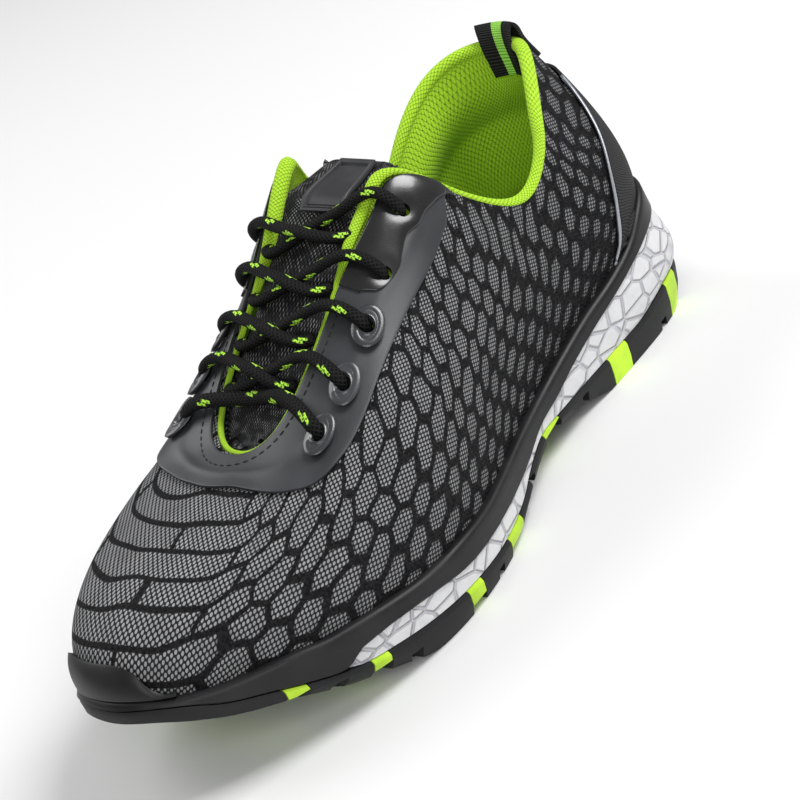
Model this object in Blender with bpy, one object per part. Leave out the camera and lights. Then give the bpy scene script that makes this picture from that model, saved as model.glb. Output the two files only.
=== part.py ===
"""Safety sneaker, left shoe, as an assembly of separate solids.

X runs to the outer side of the foot, the toe points along -Y and +Z is up.
The origin is at the middle of the heel's flat resting face.
"""

import functools
import math

import bmesh
import bpy
import numpy as np
from mathutils import Vector

MM = 0.001

# Driving sizes of the shoe, in metres
LENGTH = 0.300
BALL_WIDTH = 0.111
SOLE_HEIGHT = 0.032
INSTEP_HEIGHT = 0.119
HEEL_REST = 0.045

# Walls, layers and clearances
GAP = 0.0003
RIM_WALL = 0.0042
RIM_FLOOR = 0.0020
TOE_LIP = 0.0018
CUP_WALL = 0.0024
CUP_FOOT = 0.0027
FOAM_INSET = 0.0010
INSOLE_THICK = 0.0040
UPPER_WALL = 0.0025

# The white foam shows up to this share of the length, then runs inside the black lip
FOAM_TIP = 0.828
FOAM_TIP_RUN = 0.012

# Points round each ring of the shoe, an even number
TURNS = 56
RIB_STEPS = 8

# Outline of the sole seen from above: along is a share of LENGTH from the heel,
# lateral and medial are shares of BALL_WIDTH from the centre line.
OUTLINE = [
    # along, lateral, medial
    (0.0167, 0.255, -0.240),
    (0.0667, 0.375, -0.345),
    (0.150, 0.400, -0.362),
    (0.267, 0.388, -0.350),
    (0.400, 0.412, -0.324),
    (0.500, 0.478, -0.347),
    (0.600, 0.550, -0.396),
    (0.683, 0.568, -0.428),
    (0.767, 0.532, -0.432),
    (0.850, 0.445, -0.425),
    (0.917, 0.325, -0.385),
    (0.967, 0.185, -0.305),
]
HEEL_CENTRE = 0.0
TOE_CENTRE = -0.060

# Heights of the sole's lines, shares of SOLE_HEIGHT, along as above.
# ground: underside, tread: top of the black tread, lip: its visible edge,
# foam: top edge of the white foam, rim: top of the black rim, bed: floor of the tray.
SIDE = [
    # along, ground, tread, lip, foam, rim, bed
    (0.000, 0.120, 0.450, 0.450, 1.200, 1.600, 0.955),
    (0.040, 0.040, 0.450, 0.450, 1.170, 1.520, 0.955),
    (0.087, 0.000, 0.450, 0.450, 1.094, 1.375, 0.955),
    (0.125, 0.000, 0.410, 0.410, 1.010, 1.200, 0.955),
    (0.180, 0.000, 0.350, 0.350, 0.887, 1.060, 0.945),
    (0.250, 0.000, 0.348, 0.348, 0.760, 0.960, 0.870),
    (0.305, 0.160, 0.360, 0.360, 0.660, 0.865, 0.790),
    (0.360, 0.270, 0.390, 0.390, 0.560, 0.785, 0.710),
    (0.410, 0.290, 0.440, 0.440, 0.530, 0.735, 0.645),
    (0.465, 0.215, 0.350, 0.350, 0.440, 0.710, 0.575),
    (0.510, 0.140, 0.240, 0.240, 0.415, 0.695, 0.545),
    (0.560, 0.000, 0.219, 0.219, 0.425, 0.695, 0.535),
    (0.655, 0.000, 0.275, 0.275, 0.481, 0.760, 0.562),
    (0.713, 0.000, 0.325, 0.325, 0.575, 0.790, 0.630),
    (0.748, 0.030, 0.365, 0.365, 0.620, 0.830, 0.675),
    (0.782, 0.150, 0.412, 0.412, 0.647, 0.875, 0.715),
    (0.815, 0.250, 0.460, 0.460, 0.640, 0.912, 0.735),
    (0.840, 0.320, 0.520, 0.520, 0.535, 0.938, 0.755),
    (0.870, 0.430, 0.570, 0.620, 0.620, 1.000, 0.780),
    (0.910, 0.570, 0.660, 0.770, 0.770, 1.044, 0.830),
    (0.945, 0.700, 0.765, 0.894, 0.894, 1.080, 0.885),
    (0.970, 0.820, 0.875, 1.030, 1.030, 1.140, 1.000),
    (1.000, 0.950, 1.000, 1.120, 1.120, 1.230, 1.110),
]
SIDE_COLUMNS = ("ground", "tread", "lip", "foam", "rim", "bed")

# How far the underside's edge lies inside the outline, share of BALL_WIDTH
UNDERCUT = [
    # along, inset
    (0.00, 0.045),
    (0.10, 0.022),
    (0.35, 0.012),
    (0.45, 0.012),
    (0.60, 0.018),
    (0.80, 0.030),
    (0.92, 0.070),
    (1.00, 0.110),
]

# The edge of the upper's opening: turn goes round the shoe from the heel (0) by the
# outer side and the toe (0.5) back to the heel (1). along is a share of LENGTH,
# across of BALL_WIDTH, up of INSTEP_HEIGHT.
OPENING = [
    # turn, along, across, up
    (0.000, 0.020, -0.005, 0.930),
    (0.045, 0.047, 0.130, 0.905),
    (0.085, 0.128, 0.262, 0.805),
    (0.120, 0.177, 0.315, 0.718),
    (0.150, 0.243, 0.325, 0.668),
    (0.172, 0.300, 0.310, 0.760),
    (0.190, 0.340, 0.270, 0.880),
    (0.203, 0.366, 0.226, 0.965),
    (0.212, 0.385, 0.195, 0.988),
    (0.225, 0.415, 0.180, 0.960),
    (0.260, 0.490, 0.155, 0.865),
    (0.300, 0.568, 0.138, 0.755),
    (0.350, 0.640, 0.105, 0.650),
    (0.400, 0.675, 0.062, 0.605),
    (0.450, 0.689, 0.012, 0.592),
    (0.500, 0.692, -0.030, 0.595),
    (0.550, 0.688, -0.075, 0.600),
    (0.600, 0.675, -0.125, 0.618),
    (0.650, 0.640, -0.168, 0.665),
    (0.700, 0.568, -0.190, 0.765),
    (0.740, 0.490, -0.200, 0.875),
    (0.775, 0.415, -0.212, 1.000),
    (0.788, 0.385, -0.220, 1.040),
    (0.797, 0.366, -0.240, 1.025),
    (0.810, 0.340, -0.278, 0.910),
    (0.828, 0.300, -0.310, 0.790),
    (0.850, 0.243, -0.318, 0.700),
    (0.880, 0.180, -0.292, 0.790),
    (0.915, 0.108, -0.255, 0.900),
    (0.955, 0.050, -0.150, 0.943),
]

# Ribs of the upper: each is one curve from the rim up to the opening. The out columns
# are shares of BALL_WIDTH, the up columns shares of the rib's own height, wall of UPPER_WALL.
RIBS = [
    # turn, foot_out, foot_up, edge_out, edge_up, wall
    (0.000, 0.045, 0.40, 0.090, -0.35, 1.0),
    (0.060, 0.045, 0.40, 0.075, -0.35, 1.0),
    (0.120, 0.035, 0.40, 0.030, -0.30, 1.0),
    (0.165, 0.015, 0.40, 0.030, -0.30, 1.0),
    (0.205, 0.010, 0.38, 0.170, -0.25, 1.0),
    (0.250, 0.010, 0.38, 0.250, -0.16, 1.0),
    (0.305, 0.010, 0.38, 0.260, -0.13, 1.0),
    (0.360, 0.005, 0.45, 0.300, -0.20, 1.1),
    (0.420, -0.005, 0.62, 0.350, -0.24, 1.5),
    (0.500, 0.005, 0.74, 0.440, -0.26, 1.6),
    (0.580, 0.035, 0.74, 0.420, -0.18, 1.5),
    (0.640, 0.035, 0.58, 0.340, -0.12, 1.1),
    (0.695, 0.015, 0.45, 0.240, -0.10, 1.0),
    (0.750, 0.010, 0.42, 0.170, -0.15, 1.0),
    (0.795, 0.010, 0.40, 0.110, -0.25, 1.0),
    (0.835, 0.015, 0.40, 0.030, -0.30, 1.0),
    (0.880, 0.035, 0.40, 0.030, -0.30, 1.0),
    (0.940, 0.045, 0.40, 0.075, -0.35, 1.0),
]

# Padding of the collar, added to the wall near the opening: share of COLLAR_PAD
COLLAR_PAD = 0.0065
PAD_START = 0.45
PAD_SPAN = 0.60
PADDING = [
    # turn, pad
    (0.000, 1.0),
    (0.100, 1.0),
    (0.160, 0.9),
    (0.195, 0.3),
    (0.225, 0.0),
    (0.775, 0.0),
    (0.805, 0.3),
    (0.840, 0.9),
    (0.900, 1.0),
]

# Eyelets from the toe up: turn and share up the rib on the outer and on the inner side
EYELETS = [
    # lateral_turn, lateral_share, medial_turn, medial_share
    (0.347, 0.775, 0.647, 0.820),
    (0.315, 0.790, 0.683, 0.830),
    (0.285, 0.807, 0.710, 0.845),
    (0.2575, 0.833, 0.738, 0.860),
    (0.2235, 0.878, 0.761, 0.890),
]
EYELET_HOLE = 0.0026
PAD_RADIUS = 0.0072
PAD_COUNT = 3

# Overlays on the upper: how far each face lies off the upper's outer face
EYESTAY_LIFT = (0.0008, 0.0016)
PATCH_LIFT = (0.0020, 0.0029)
COUNTER_LIFT = (0.0009, 0.0018)
BUMPER_LIFT = (0.0005, 0.0032)
RIM_CLEAR = 0.0013

# Lower edge of the eyestay, a share up the rib at each turn
THROAT_EDGE = 0.975
EYESTAY = [
    # turn, share
    (0.190, 0.925),
    (0.212, 0.710),
    (0.231, 0.690),
    (0.287, 0.685),
    (0.337, 0.637),
    (0.358, 0.644),
    (0.385, 0.701),
    (0.438, 0.822),
    (0.476, 0.870),
    (0.520, 0.875),
    (0.560, 0.852),
    (0.600, 0.780),
    (0.640, 0.700),
    (0.680, 0.680),
    (0.769, 0.690),
    (0.790, 0.715),
    (0.810, 0.925),
]

EYESTAY_STEPS = 36

# Lower edge of the moulded patch round the two top eyelets, outer side
TOP_PATCH = [
    # turn, share
    (0.193, 0.930),
    (0.202, 0.860),
    (0.215, 0.800),
    (0.235, 0.826),
    (0.249, 0.797),
    (0.262, 0.815),
    (0.272, 0.900),
]

# Half width of the heel counter as a turn, at each share up the rib
COUNTER = [
    # share, turn
    (0.00, 0.1280),
    (0.07, 0.1190),
    (0.22, 0.1080),
    (0.37, 0.0915),
    (0.50, 0.0680),
    (0.65, 0.0500),
    (0.76, 0.0420),
]
COUNTER_STEPS = 10
STRIP_WIDTH = 0.0026

# Top edge of the toe bumper, a share up the rib at each turn
BUMPER = [
    # turn, share
    (0.448, 0.020),
    (0.462, 0.050),
    (0.475, 0.140),
    (0.500, 0.185),
    (0.540, 0.185),
    (0.565, 0.120),
    (0.580, 0.020),
]

BUMPER_ROWS = 4

# The tongue bridges the throat: crown is the reach of its curve, a share of its width
TONGUE_THICK = 0.0040
TONGUE_TUCK = 0.10
TONGUE = [
    # turn, crown
    (0.225, 0.02),
    (0.232, 0.03),
    (0.245, 0.05),
    (0.260, 0.08),
    (0.285, 0.12),
    (0.315, 0.17),
    (0.350, 0.22),
    (0.390, 0.26),
    (0.430, 0.28),
    (0.465, 0.28),
    (0.492, 0.28),
]
TONGUE_STEPS = 6

# Free end of the tongue past its top row: shares of its length, rise and width
TONGUE_END = 0.023
TONGUE_END_RISE = 0.0010
TONGUE_TOP = [
    # run, width
    (1.00, 0.66),
    (0.88, 0.78),
    (0.45, 0.90),
]

# Badge near the top of the tongue, in shares of the way across it
BADGE_ACROSS = (0.36, 0.71)
BADGE_ROWS = 4
BADGE_THICK = 0.0014

# Webbing loop at the back of the collar
LOOP_WIDTH = 0.017
LOOP_THICK = 0.0014
LOOP_HEIGHT = 0.0085
LOOP_CLEAR = 0.0010
LOOP_LEGS = (0.86, 0.93)

# Round laces: how far a strand starts and ends from the eyelets' rows
LACE_RADIUS = 0.0023
LACE_SIDES = 6
LACE_STEPS = 3
LACE_CLEAR = 0.0008
LACE_END = 0.0040
LACE_START = 0.36
LACE_EDGE = 0.17
LACE_BAR_RISE = 0.0015
LACE_CROSS_RISE = 0.0034

# White foam stands out round the heel
FOAM_BULGE = 0.0042
BULGE_SPAN = 0.16

# Green grip bars across the tread and plain grooves between them
GRIP_BARS = [
    # along, width
    (0.890, 0.006),
    (0.805, 0.006),
    (0.663, 0.008),
    (0.555, 0.013),
    (0.393, 0.013),
    (0.228, 0.012),
    (0.083, 0.010),
]
GRIP_DEPTH = 0.0025
GRIP_BLOCK = 0.013
GROOVES = (0.850, 0.765, 0.610, 0.475, 0.310, 0.125)
GROOVE_WIDTH = 0.003
GROOVE_DEPTH = 0.0025


def cubic(knots, rows):
    """Natural cubic spline: a function that gives the row at any knot value."""
    x = np.asarray(knots, dtype=float)
    y = np.asarray(rows, dtype=float)
    count = len(x)
    step = np.diff(x)
    matrix = np.zeros((count, count))
    right = np.zeros(y.shape)
    matrix[0, 0] = 1.0
    matrix[-1, -1] = 1.0
    for i in range(1, count - 1):
        matrix[i, i - 1] = step[i - 1]
        matrix[i, i] = 2 * (step[i - 1] + step[i])
        matrix[i, i + 1] = step[i]
        right[i] = 6 * ((y[i + 1] - y[i]) / step[i] - (y[i] - y[i - 1]) / step[i - 1])
    bend = np.linalg.solve(matrix, right)

    def at(value):
        i = min(max(int(np.searchsorted(x, value)) - 1, 0), count - 2)
        a = (x[i + 1] - value) / step[i]
        b = 1 - a
        curve = (a**3 - a) * bend[i] + (b**3 - b) * bend[i + 1]
        return a * y[i] + b * y[i + 1] + curve * step[i] ** 2 / 6

    return at


def closed_cubic(knots, rows):
    """Cubic spline that repeats after one turn."""
    laps = [k + lap for lap in (-1, 0, 1) for k in knots]
    spline = cubic(laps, list(rows) * 3)
    return lambda turn: spline(turn % 1.0)


def steady(knots, rows):
    """Curve that keeps between its rows: a monotone cubic."""
    x = np.asarray(knots, dtype=float)
    y = np.asarray(rows, dtype=float)
    step = np.diff(x)
    slope = np.diff(y, axis=0) / step[:, None]
    tangent = np.zeros(y.shape)
    for i in range(1, len(x) - 1):
        low = np.minimum(np.abs(slope[i - 1]), np.abs(slope[i]))
        mean = (slope[i - 1] + slope[i]) / 2
        same = slope[i - 1] * slope[i] > 0
        tangent[i] = np.where(same, np.sign(mean) * np.minimum(np.abs(mean), 3 * low), 0.0)

    def at(value):
        i = min(max(int(np.searchsorted(x, value)) - 1, 0), len(x) - 2)
        b = min(max((value - x[i]) / step[i], 0.0), 1.0)
        start = (1 + 2 * b) * (1 - b) ** 2 * y[i] + b**2 * (3 - 2 * b) * y[i + 1]
        lean = b * (1 - b) ** 2 * tangent[i] - b**2 * (1 - b) * tangent[i + 1]
        return start + step[i] * lean

    return at


def turn_of(along):
    """Turn on the outer side at which the outline is that share of the length along."""
    return math.acos(1 - 2 * along) / (2 * math.pi)


def outline_spline():
    """Across position of the outline, as a function of the turn."""
    knots = [0.0]
    values = [[HEEL_CENTRE]]
    for along, lateral, _ in OUTLINE:
        knots.append(turn_of(along))
        values.append([lateral])
    knots.append(0.5)
    values.append([TOE_CENTRE])
    for along, _, medial in reversed(OUTLINE):
        knots.append(1 - turn_of(along))
        values.append([medial])
    return closed_cubic(knots, values)


ACROSS = outline_spline()
SIDE_AT = steady([row[0] for row in SIDE], [row[1:] for row in SIDE])
UNDERCUT_AT = steady([row[0] for row in UNDERCUT], [row[1:] for row in UNDERCUT])
OPENING_AT = closed_cubic([row[0] for row in OPENING], [row[1:] for row in OPENING])
RIBS_AT = closed_cubic([row[0] for row in RIBS], [row[1:] for row in RIBS])
PAD_ROWS = PADDING + [(1.0, PADDING[0][1])]
PAD_AT = steady([row[0] for row in PAD_ROWS], [row[1:] for row in PAD_ROWS])


def along_at(turn):
    """Share of the length at that turn of the outline."""
    return (1 - math.cos(2 * math.pi * turn)) / 2


def along_of(point):
    """Share of the length at which a point lies."""
    return (HEEL_REST - point.y) / LENGTH


def place(along, across, up):
    """Point from shares of LENGTH and BALL_WIDTH and a height in metres."""
    return Vector((across * BALL_WIDTH, HEEL_REST - along * LENGTH, up))


def on_outline(turn):
    return place(along_at(turn), float(ACROSS(turn)[0]), 0.0)


def outward(turn):
    """Level unit vector that points out of the outline."""
    ahead = on_outline(turn + 0.002) - on_outline(turn - 0.002)
    return Vector((-ahead.y, ahead.x, 0.0)).normalized()


def height(column, along):
    """Height of one of the sole's lines, in metres."""
    return float(SIDE_AT(along)[SIDE_COLUMNS.index(column)]) * SOLE_HEIGHT


def shelf(turn, inset, lift=0.0):
    """Point on the level where foam and carrier meet inside the cup."""
    point = on_outline(turn) - outward(turn) * inset
    along = along_of(point)
    point.z = min(height("bed", along) - RIM_FLOOR, height("foam", along)) + lift
    return point


def sole_point(turn, inset, column, lift=0.0):
    """Point inset from the outline, on one of the sole's lines or lifted off it."""
    point = on_outline(turn) - outward(turn) * inset
    point.z = height(column, along_of(point)) + lift
    return point


def wall_at(turn):
    return float(RIBS_AT(turn)[4]) * UPPER_WALL


@functools.lru_cache(maxsize=None)
def rib_curve(turn):
    """The four handles of the rib at that turn."""
    foot = sole_point(turn, RIM_WALL + GAP, "rim")
    along, across, up = (float(v) for v in OPENING_AT(turn))
    edge = place(along, across, up * INSTEP_HEIGHT)
    foot_out, foot_up, edge_out, edge_up, _ = (float(v) for v in RIBS_AT(turn))
    rise = edge.z - foot.z
    out = outward(turn)
    low = foot + out * foot_out * BALL_WIDTH + Vector((0, 0, foot_up * rise))
    high = edge + out * edge_out * BALL_WIDTH + Vector((0, 0, edge_up * rise))
    return foot, low, high, edge


def outer_skin(turn, share):
    """Outer face of the upper: share 0 is at the rim, 1 at the opening, -1 on the tray's floor."""
    foot, low, high, edge = rib_curve(turn)
    if share < 0:
        bottom = height("bed", along_of(foot)) + GAP
        return Vector((foot.x, foot.y, foot.z + share * (foot.z - bottom)))
    a = 1 - share
    return a**3 * foot + 3 * a * a * share * low + 3 * a * share**2 * high + share**3 * edge


def skin_normal(turn, share):
    """Unit normal of the outer face, pointing out."""
    if share <= 0:
        return outward(turn)
    s0 = max(share - 0.02, 0.0)
    s1 = min(share + 0.02, 1.0)
    up = outer_skin(turn, s1) - outer_skin(turn, s0)
    ahead = outer_skin(turn + 0.003, share) - outer_skin(turn - 0.003, share)
    return up.cross(ahead).normalized()


def on_upper(turn, share, lift):
    """Point lifted off the outer face of the upper, or sunk into it below zero."""
    return outer_skin(turn, share) + skin_normal(turn, share) * lift


def thickness(turn, share):
    """Wall of the upper with the collar's padding."""
    swell = min(max((share - PAD_START) / PAD_SPAN, 0.0), 1.0)
    return wall_at(turn) + COLLAR_PAD * float(PAD_AT(turn)[0]) * math.sin(math.pi * swell)


def clear_scene():
    for obj in list(bpy.data.objects):
        bpy.data.objects.remove(obj, do_unlink=True)


def material(name, colour, roughness):
    mat = bpy.data.materials.new(name)
    mat.use_nodes = True
    shader = mat.node_tree.nodes["Principled BSDF"]
    shader.inputs["Base Color"].default_value = (*colour, 1.0)
    shader.inputs["Roughness"].default_value = roughness
    shader.inputs["Metallic"].default_value = 0.0
    return mat


def make_object(name, points, faces, mat):
    mesh = bpy.data.meshes.new(name)
    mesh.from_pydata([tuple(p) for p in points], [], faces)
    mesh.update()
    mesh.materials.append(mat)
    mesh.shade_smooth()
    mesh.set_sharp_from_angle(angle=math.radians(35))
    obj = bpy.data.objects.new(name, mesh)
    bpy.context.scene.collection.objects.link(obj)
    return obj


def ring_band(low, high, flip):
    """Triangles between two rings; flip chooses the other diagonal."""
    faces = []
    for i in range(TURNS):
        j = (i + 1) % TURNS
        if flip:
            faces.append((low + i, high + i, low + j))
            faces.append((low + j, high + i, high + j))
        else:
            faces.append((low + i, high + j, low + j))
            faces.append((low + i, high + i, high + j))
    return faces


def ring_stack(name, rings, widest, mat):
    """Closed solid from rings that go from the underside's middle out, up and back in.

    widest is the number of the ring where they stop going out. Both ends are capped by
    strips from side to side, so that layers laid on one another have matching facets.
    """
    points = []
    for ring in rings:
        points.extend(ring(i / TURNS) for i in range(TURNS))
    faces = []
    for level in range(len(rings) - 1):
        faces += ring_band(level * TURNS, (level + 1) * TURNS, level < widest)
    top = (len(rings) - 1) * TURNS
    for i in range(TURNS // 2):
        a, b = i, i + 1
        c, d = (TURNS - b) % TURNS, (TURNS - a) % TURNS
        for corner in ((a, b, c), (a, c, d)):
            if len(set(corner)) == 3:
                faces.append(corner)
                faces.append(tuple(top + k for k in corner[::-1]))
    return make_object(name, points, faces, mat)


def foam_edge(turn):
    """Inset of the foam's edge, which slips behind the black lip near the toe."""
    ramp = min(max((along_at(turn) - FOAM_TIP) / FOAM_TIP_RUN, 0.0), 1.0)
    return FOAM_INSET + ramp * (TOE_LIP + 4 * GAP - FOAM_INSET)


def undercut(turn):
    return float(UNDERCUT_AT(along_at(turn))[0]) * BALL_WIDTH


def tread_form(name, mat):
    """Black tread with its toe lip, before it is cut."""

    def shoulder(turn):
        point = sole_point(turn, 0.0, "tread")
        point.z = min(point.z, height("lip", along_of(point)) - 1.2 * MM) - 0.6 * MM
        return point

    def flank(turn):
        point = sole_point(turn, 0.3 * undercut(turn), "ground")
        point.z += 0.5 * (shoulder(turn).z - point.z)
        return point

    rings = [
        lambda t: sole_point(t, undercut(t), "ground"),
        flank,
        shoulder,
        lambda t: sole_point(t, 0.0, "lip", -1.2 * MM),
        lambda t: sole_point(t, 0.6 * MM, "lip"),
        lambda t: sole_point(t, TOE_LIP, "lip"),
        lambda t: sole_point(t, TOE_LIP + 0.2 * MM, "tread"),
    ]
    return ring_stack(name, rings, 2, mat)


def bulge(turn, share):
    """How far the foam stands out of its edge, at a share of its height."""
    round_heel = max(1 - (min(turn, 1 - turn) / BULGE_SPAN) ** 2, 0.0)
    return FOAM_BULGE * round_heel * math.sin(math.pi * share**0.7)


def foam_point(turn, share):
    point = sole_point(turn, foam_edge(turn) - bulge(turn, share), "tread", GAP)
    top = height("foam", along_at(turn))
    point.z += share * (top - point.z)
    return point


def make_midsole(mat):
    """White foam: a flat underside, a cup edge at the heel, a thin sheet at the toe."""
    rings = [
        lambda t: sole_point(t, foam_edge(t), "tread", GAP),
        lambda t: foam_point(t, 0.35),
        lambda t: foam_point(t, 0.75),
        lambda t: sole_point(t, foam_edge(t), "foam"),
        lambda t: sole_point(t, CUP_WALL, "foam"),
        lambda t: shelf(t, CUP_FOOT, -GAP),
    ]
    return ring_stack("midsole", rings, 2, mat)


def make_rim(mat):
    """Black carrier: a tray whose wall stands up round the upper."""
    rings = [
        lambda t: shelf(t, CUP_FOOT + 0.4 * MM),
        lambda t: sole_point(t, CUP_WALL + 0.4 * MM, "foam", GAP),
        lambda t: sole_point(t, FOAM_INSET, "foam", GAP),
        lambda t: sole_point(t, 0.0, "foam", GAP + 0.6 * MM),
        lambda t: sole_point(t, 0.5 * MM, "rim", -1.6 * MM),
        lambda t: sole_point(t, 2.0 * MM, "rim"),
        lambda t: sole_point(t, RIM_WALL, "rim", -0.2 * MM),
        lambda t: sole_point(t, RIM_WALL, "bed"),
    ]
    return ring_stack("sole_rim", rings, 3, mat)


def make_insole(mat):
    """Footbed with a raised edge that lies inside the upper's foot."""

    def edge(turn):
        return RIM_WALL + wall_at(turn) + 3 * GAP

    rings = [
        lambda t: sole_point(t, edge(t) + 4 * MM, "bed", GAP),
        lambda t: sole_point(t, edge(t), "bed", GAP),
        lambda t: sole_point(t, edge(t), "bed", INSOLE_THICK + 1.0 * MM),
        lambda t: sole_point(t, edge(t) + 1.5 * MM, "bed", INSOLE_THICK + 1.0 * MM),
        lambda t: sole_point(t, edge(t) + 6 * MM, "bed", INSOLE_THICK),
    ]
    return ring_stack("insole", rings, 1, mat)


def make_upper(mat):
    """One hollow solid: its outer face, and an inner face sunk by the wall."""
    shares = [-1.0] + [k / RIB_STEPS for k in range(RIB_STEPS + 1)]
    points = []
    for share in shares:
        points.extend(outer_skin(i / TURNS, share) for i in range(TURNS))
    for share in reversed(shares):
        points.extend(on_upper(i / TURNS, share, -thickness(i / TURNS, share)) for i in range(TURNS))
    levels = 2 * len(shares)
    faces = []
    for level in range(levels):
        faces += ring_band(level * TURNS, (level + 1) % levels * TURNS, True)
    return make_object("upper", points, faces, mat)


def sheet(name, lower, upper, mat):
    """Closed solid between two grids of points of the same size, upper lying outside."""
    rows = len(lower)
    cols = len(lower[0])
    points = [p for row in lower for p in row] + [p for row in upper for p in row]
    shift = rows * cols
    faces = []
    for r in range(rows - 1):
        for c in range(cols - 1):
            a = r * cols + c
            b, d, e = a + 1, a + cols, a + cols + 1
            faces.append((a, b, e))
            faces.append((a, e, d))
            faces.append((shift + a, shift + e, shift + b))
            faces.append((shift + a, shift + d, shift + e))
    rim = [c for c in range(cols)]
    rim += [r * cols + cols - 1 for r in range(1, rows)]
    rim += [(rows - 1) * cols + c for c in range(cols - 2, -1, -1)]
    rim += [r * cols for r in range(rows - 2, 0, -1)]
    for k, a in enumerate(rim):
        b = rim[(k + 1) % len(rim)]
        faces.append((a, shift + a, shift + b))
        faces.append((a, shift + b, b))
    return make_object(name, points, faces, mat)


def foot_share(turn):
    """Share at which the outer face stands clear above the rim."""
    foot, low, _, _ = rib_curve(turn)
    return RIM_CLEAR / (3 * (low.z - foot.z))


def overlay(name, grid, lifts, mat):
    """Sheet on the upper from a grid of (turn, share) places."""
    grid = [[(t, max(s, foot_share(t))) for t, s in row] for row in grid]
    lower = [[on_upper(t, s, lifts[0]) for t, s in row] for row in grid]
    upper = [[on_upper(t, s, lifts[1]) for t, s in row] for row in grid]
    return sheet(name, lower, upper, mat)


def spread(first, last, count):
    return [first + (last - first) * k / (count - 1) for k in range(count)]


def drill(target, cutters):
    """Cut the target with each cutter, by exact Booleans that stay on the object."""
    for cutter in cutters:
        cut = target.modifiers.new("cut", "BOOLEAN")
        cut.operation = "DIFFERENCE"
        cut.object = cutter
        cut.solver = "EXACT"


def hide_cutter(obj):
    obj.hide_render = True
    obj.display_type = "WIRE"
    return obj


def eyelet_place(number, side):
    """Turn and share of an eyelet, side 1 is the outer side and -1 the inner."""
    row = EYELETS[number]
    return row[:2] if side > 0 else row[2:]


def eyelet_cutter(number, side):
    """Round pin square to the upper at an eyelet."""
    turn, share = eyelet_place(number, side)
    centre = outer_skin(turn, share)
    normal = skin_normal(turn, share)
    bm = bmesh.new()
    bmesh.ops.create_cone(
        bm, cap_ends=True, segments=8, radius1=EYELET_HOLE, radius2=EYELET_HOLE, depth=0.016
    )
    mesh = bpy.data.meshes.new("eyelet_cutter")
    bm.to_mesh(mesh)
    bm.free()
    obj = bpy.data.objects.new("eyelet_cutter", mesh)
    bpy.context.scene.collection.objects.link(obj)
    obj.rotation_mode = "QUATERNION"
    obj.rotation_quaternion = normal.to_track_quat("Z", "Y")
    obj.location = centre
    return hide_cutter(obj)


def make_eyestay(mat):
    """Film panel round the throat, from the collar's outer corner to the inner one."""
    low_at = steady([row[0] for row in EYESTAY], [row[1:] for row in EYESTAY])
    turns = spread(EYESTAY[0][0], EYESTAY[-1][0], EYESTAY_STEPS)
    shares = [spread(float(low_at(t)[0]), THROAT_EDGE, 4) for t in turns]
    grid = [[(t, row[k]) for t, row in zip(turns, shares)] for k in range(4)]
    return overlay("eyestay", grid, EYESTAY_LIFT, mat)


def make_top_patch(side, mat):
    """Moulded patch over the eyestay at the two top eyelets."""
    low_at = steady([row[0] for row in TOP_PATCH], [row[1:] for row in TOP_PATCH])
    grid = []
    for k in range(4):
        row = []
        for t in spread(TOP_PATCH[0][0], TOP_PATCH[-1][0], 11):
            low = float(low_at(t)[0])
            row.append((t if side > 0 else 1 - t, low + (THROAT_EDGE - low) * k / 3))
        grid.append(row if side > 0 else row[::-1])
    word = "lateral" if side > 0 else "medial"
    return overlay(f"top_patch_{word}", grid, PATCH_LIFT, mat)


def around(turn, share, angle, radius):
    """Turn and share of a point at an angle and a distance from another on the upper."""
    per_turn = (outer_skin(turn + 0.005, share) - outer_skin(turn - 0.005, share)).length / 0.01
    per_share = (outer_skin(turn, share + 0.01) - outer_skin(turn, share - 0.01)).length / 0.02
    return turn + radius * math.cos(angle) / per_turn, share + radius * math.sin(angle) / per_share


def make_eyelet_pad(number, side, mat):
    """Raised pad round one of the lower eyelets, drawn out away from the throat."""
    turn, share = eyelet_place(number, side)
    segments = 10
    grid = []
    for k in range(segments):
        angle = 2 * math.pi * k / segments
        reach = PAD_RADIUS * (1 - 0.18 * math.sin(angle))
        hole = around(turn, share, angle, EYELET_HOLE)
        rim = around(turn, share, angle, reach)
        grid.append((hole, rim))
    points = []
    for lift in PATCH_LIFT:
        points += [on_upper(*hole, lift) for hole, _ in grid]
        points += [on_upper(*rim, lift) for _, rim in grid]
    faces = []
    for k in range(segments):
        j = (k + 1) % segments
        loops = [0, segments, 3 * segments, 2 * segments]
        for a, b in zip(loops, loops[1:] + loops[:1]):
            faces.append((a + k, b + k, b + j))
            faces.append((a + k, b + j, a + j))
    word = "lateral" if side > 0 else "medial"
    return make_object(f"eyelet_pad_{word}_{number + 1}", points, faces, mat)


def counter_turn(share):
    rows = steady([row[0] for row in COUNTER], [row[1:] for row in COUNTER])
    return float(rows(share)[0])


def make_counter(mat):
    grid = []
    for share in spread(COUNTER[0][0], COUNTER[-1][0], COUNTER_STEPS):
        half = counter_turn(share)
        grid.append([(t, share) for t in spread(-half, half, 13)])
    return overlay("heel_counter", grid, COUNTER_LIFT, mat)


def make_strip(side, mat):
    """Reflective piping along the front edge of the counter."""
    grid = []
    for share in spread(COUNTER[0][0], COUNTER[-1][0], COUNTER_STEPS):
        start = counter_turn(share)
        metre = (outer_skin(start + 0.005, share) - outer_skin(start - 0.005, share)).length / 0.01
        near = start + 2 * GAP / metre
        far = near + STRIP_WIDTH / metre
        row = [(side * near, share), (side * far, share)]
        grid.append(row if side > 0 else row[::-1])
    word = "lateral" if side > 0 else "medial"
    return overlay(f"reflective_strip_{word}", grid, COUNTER_LIFT, mat)


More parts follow.
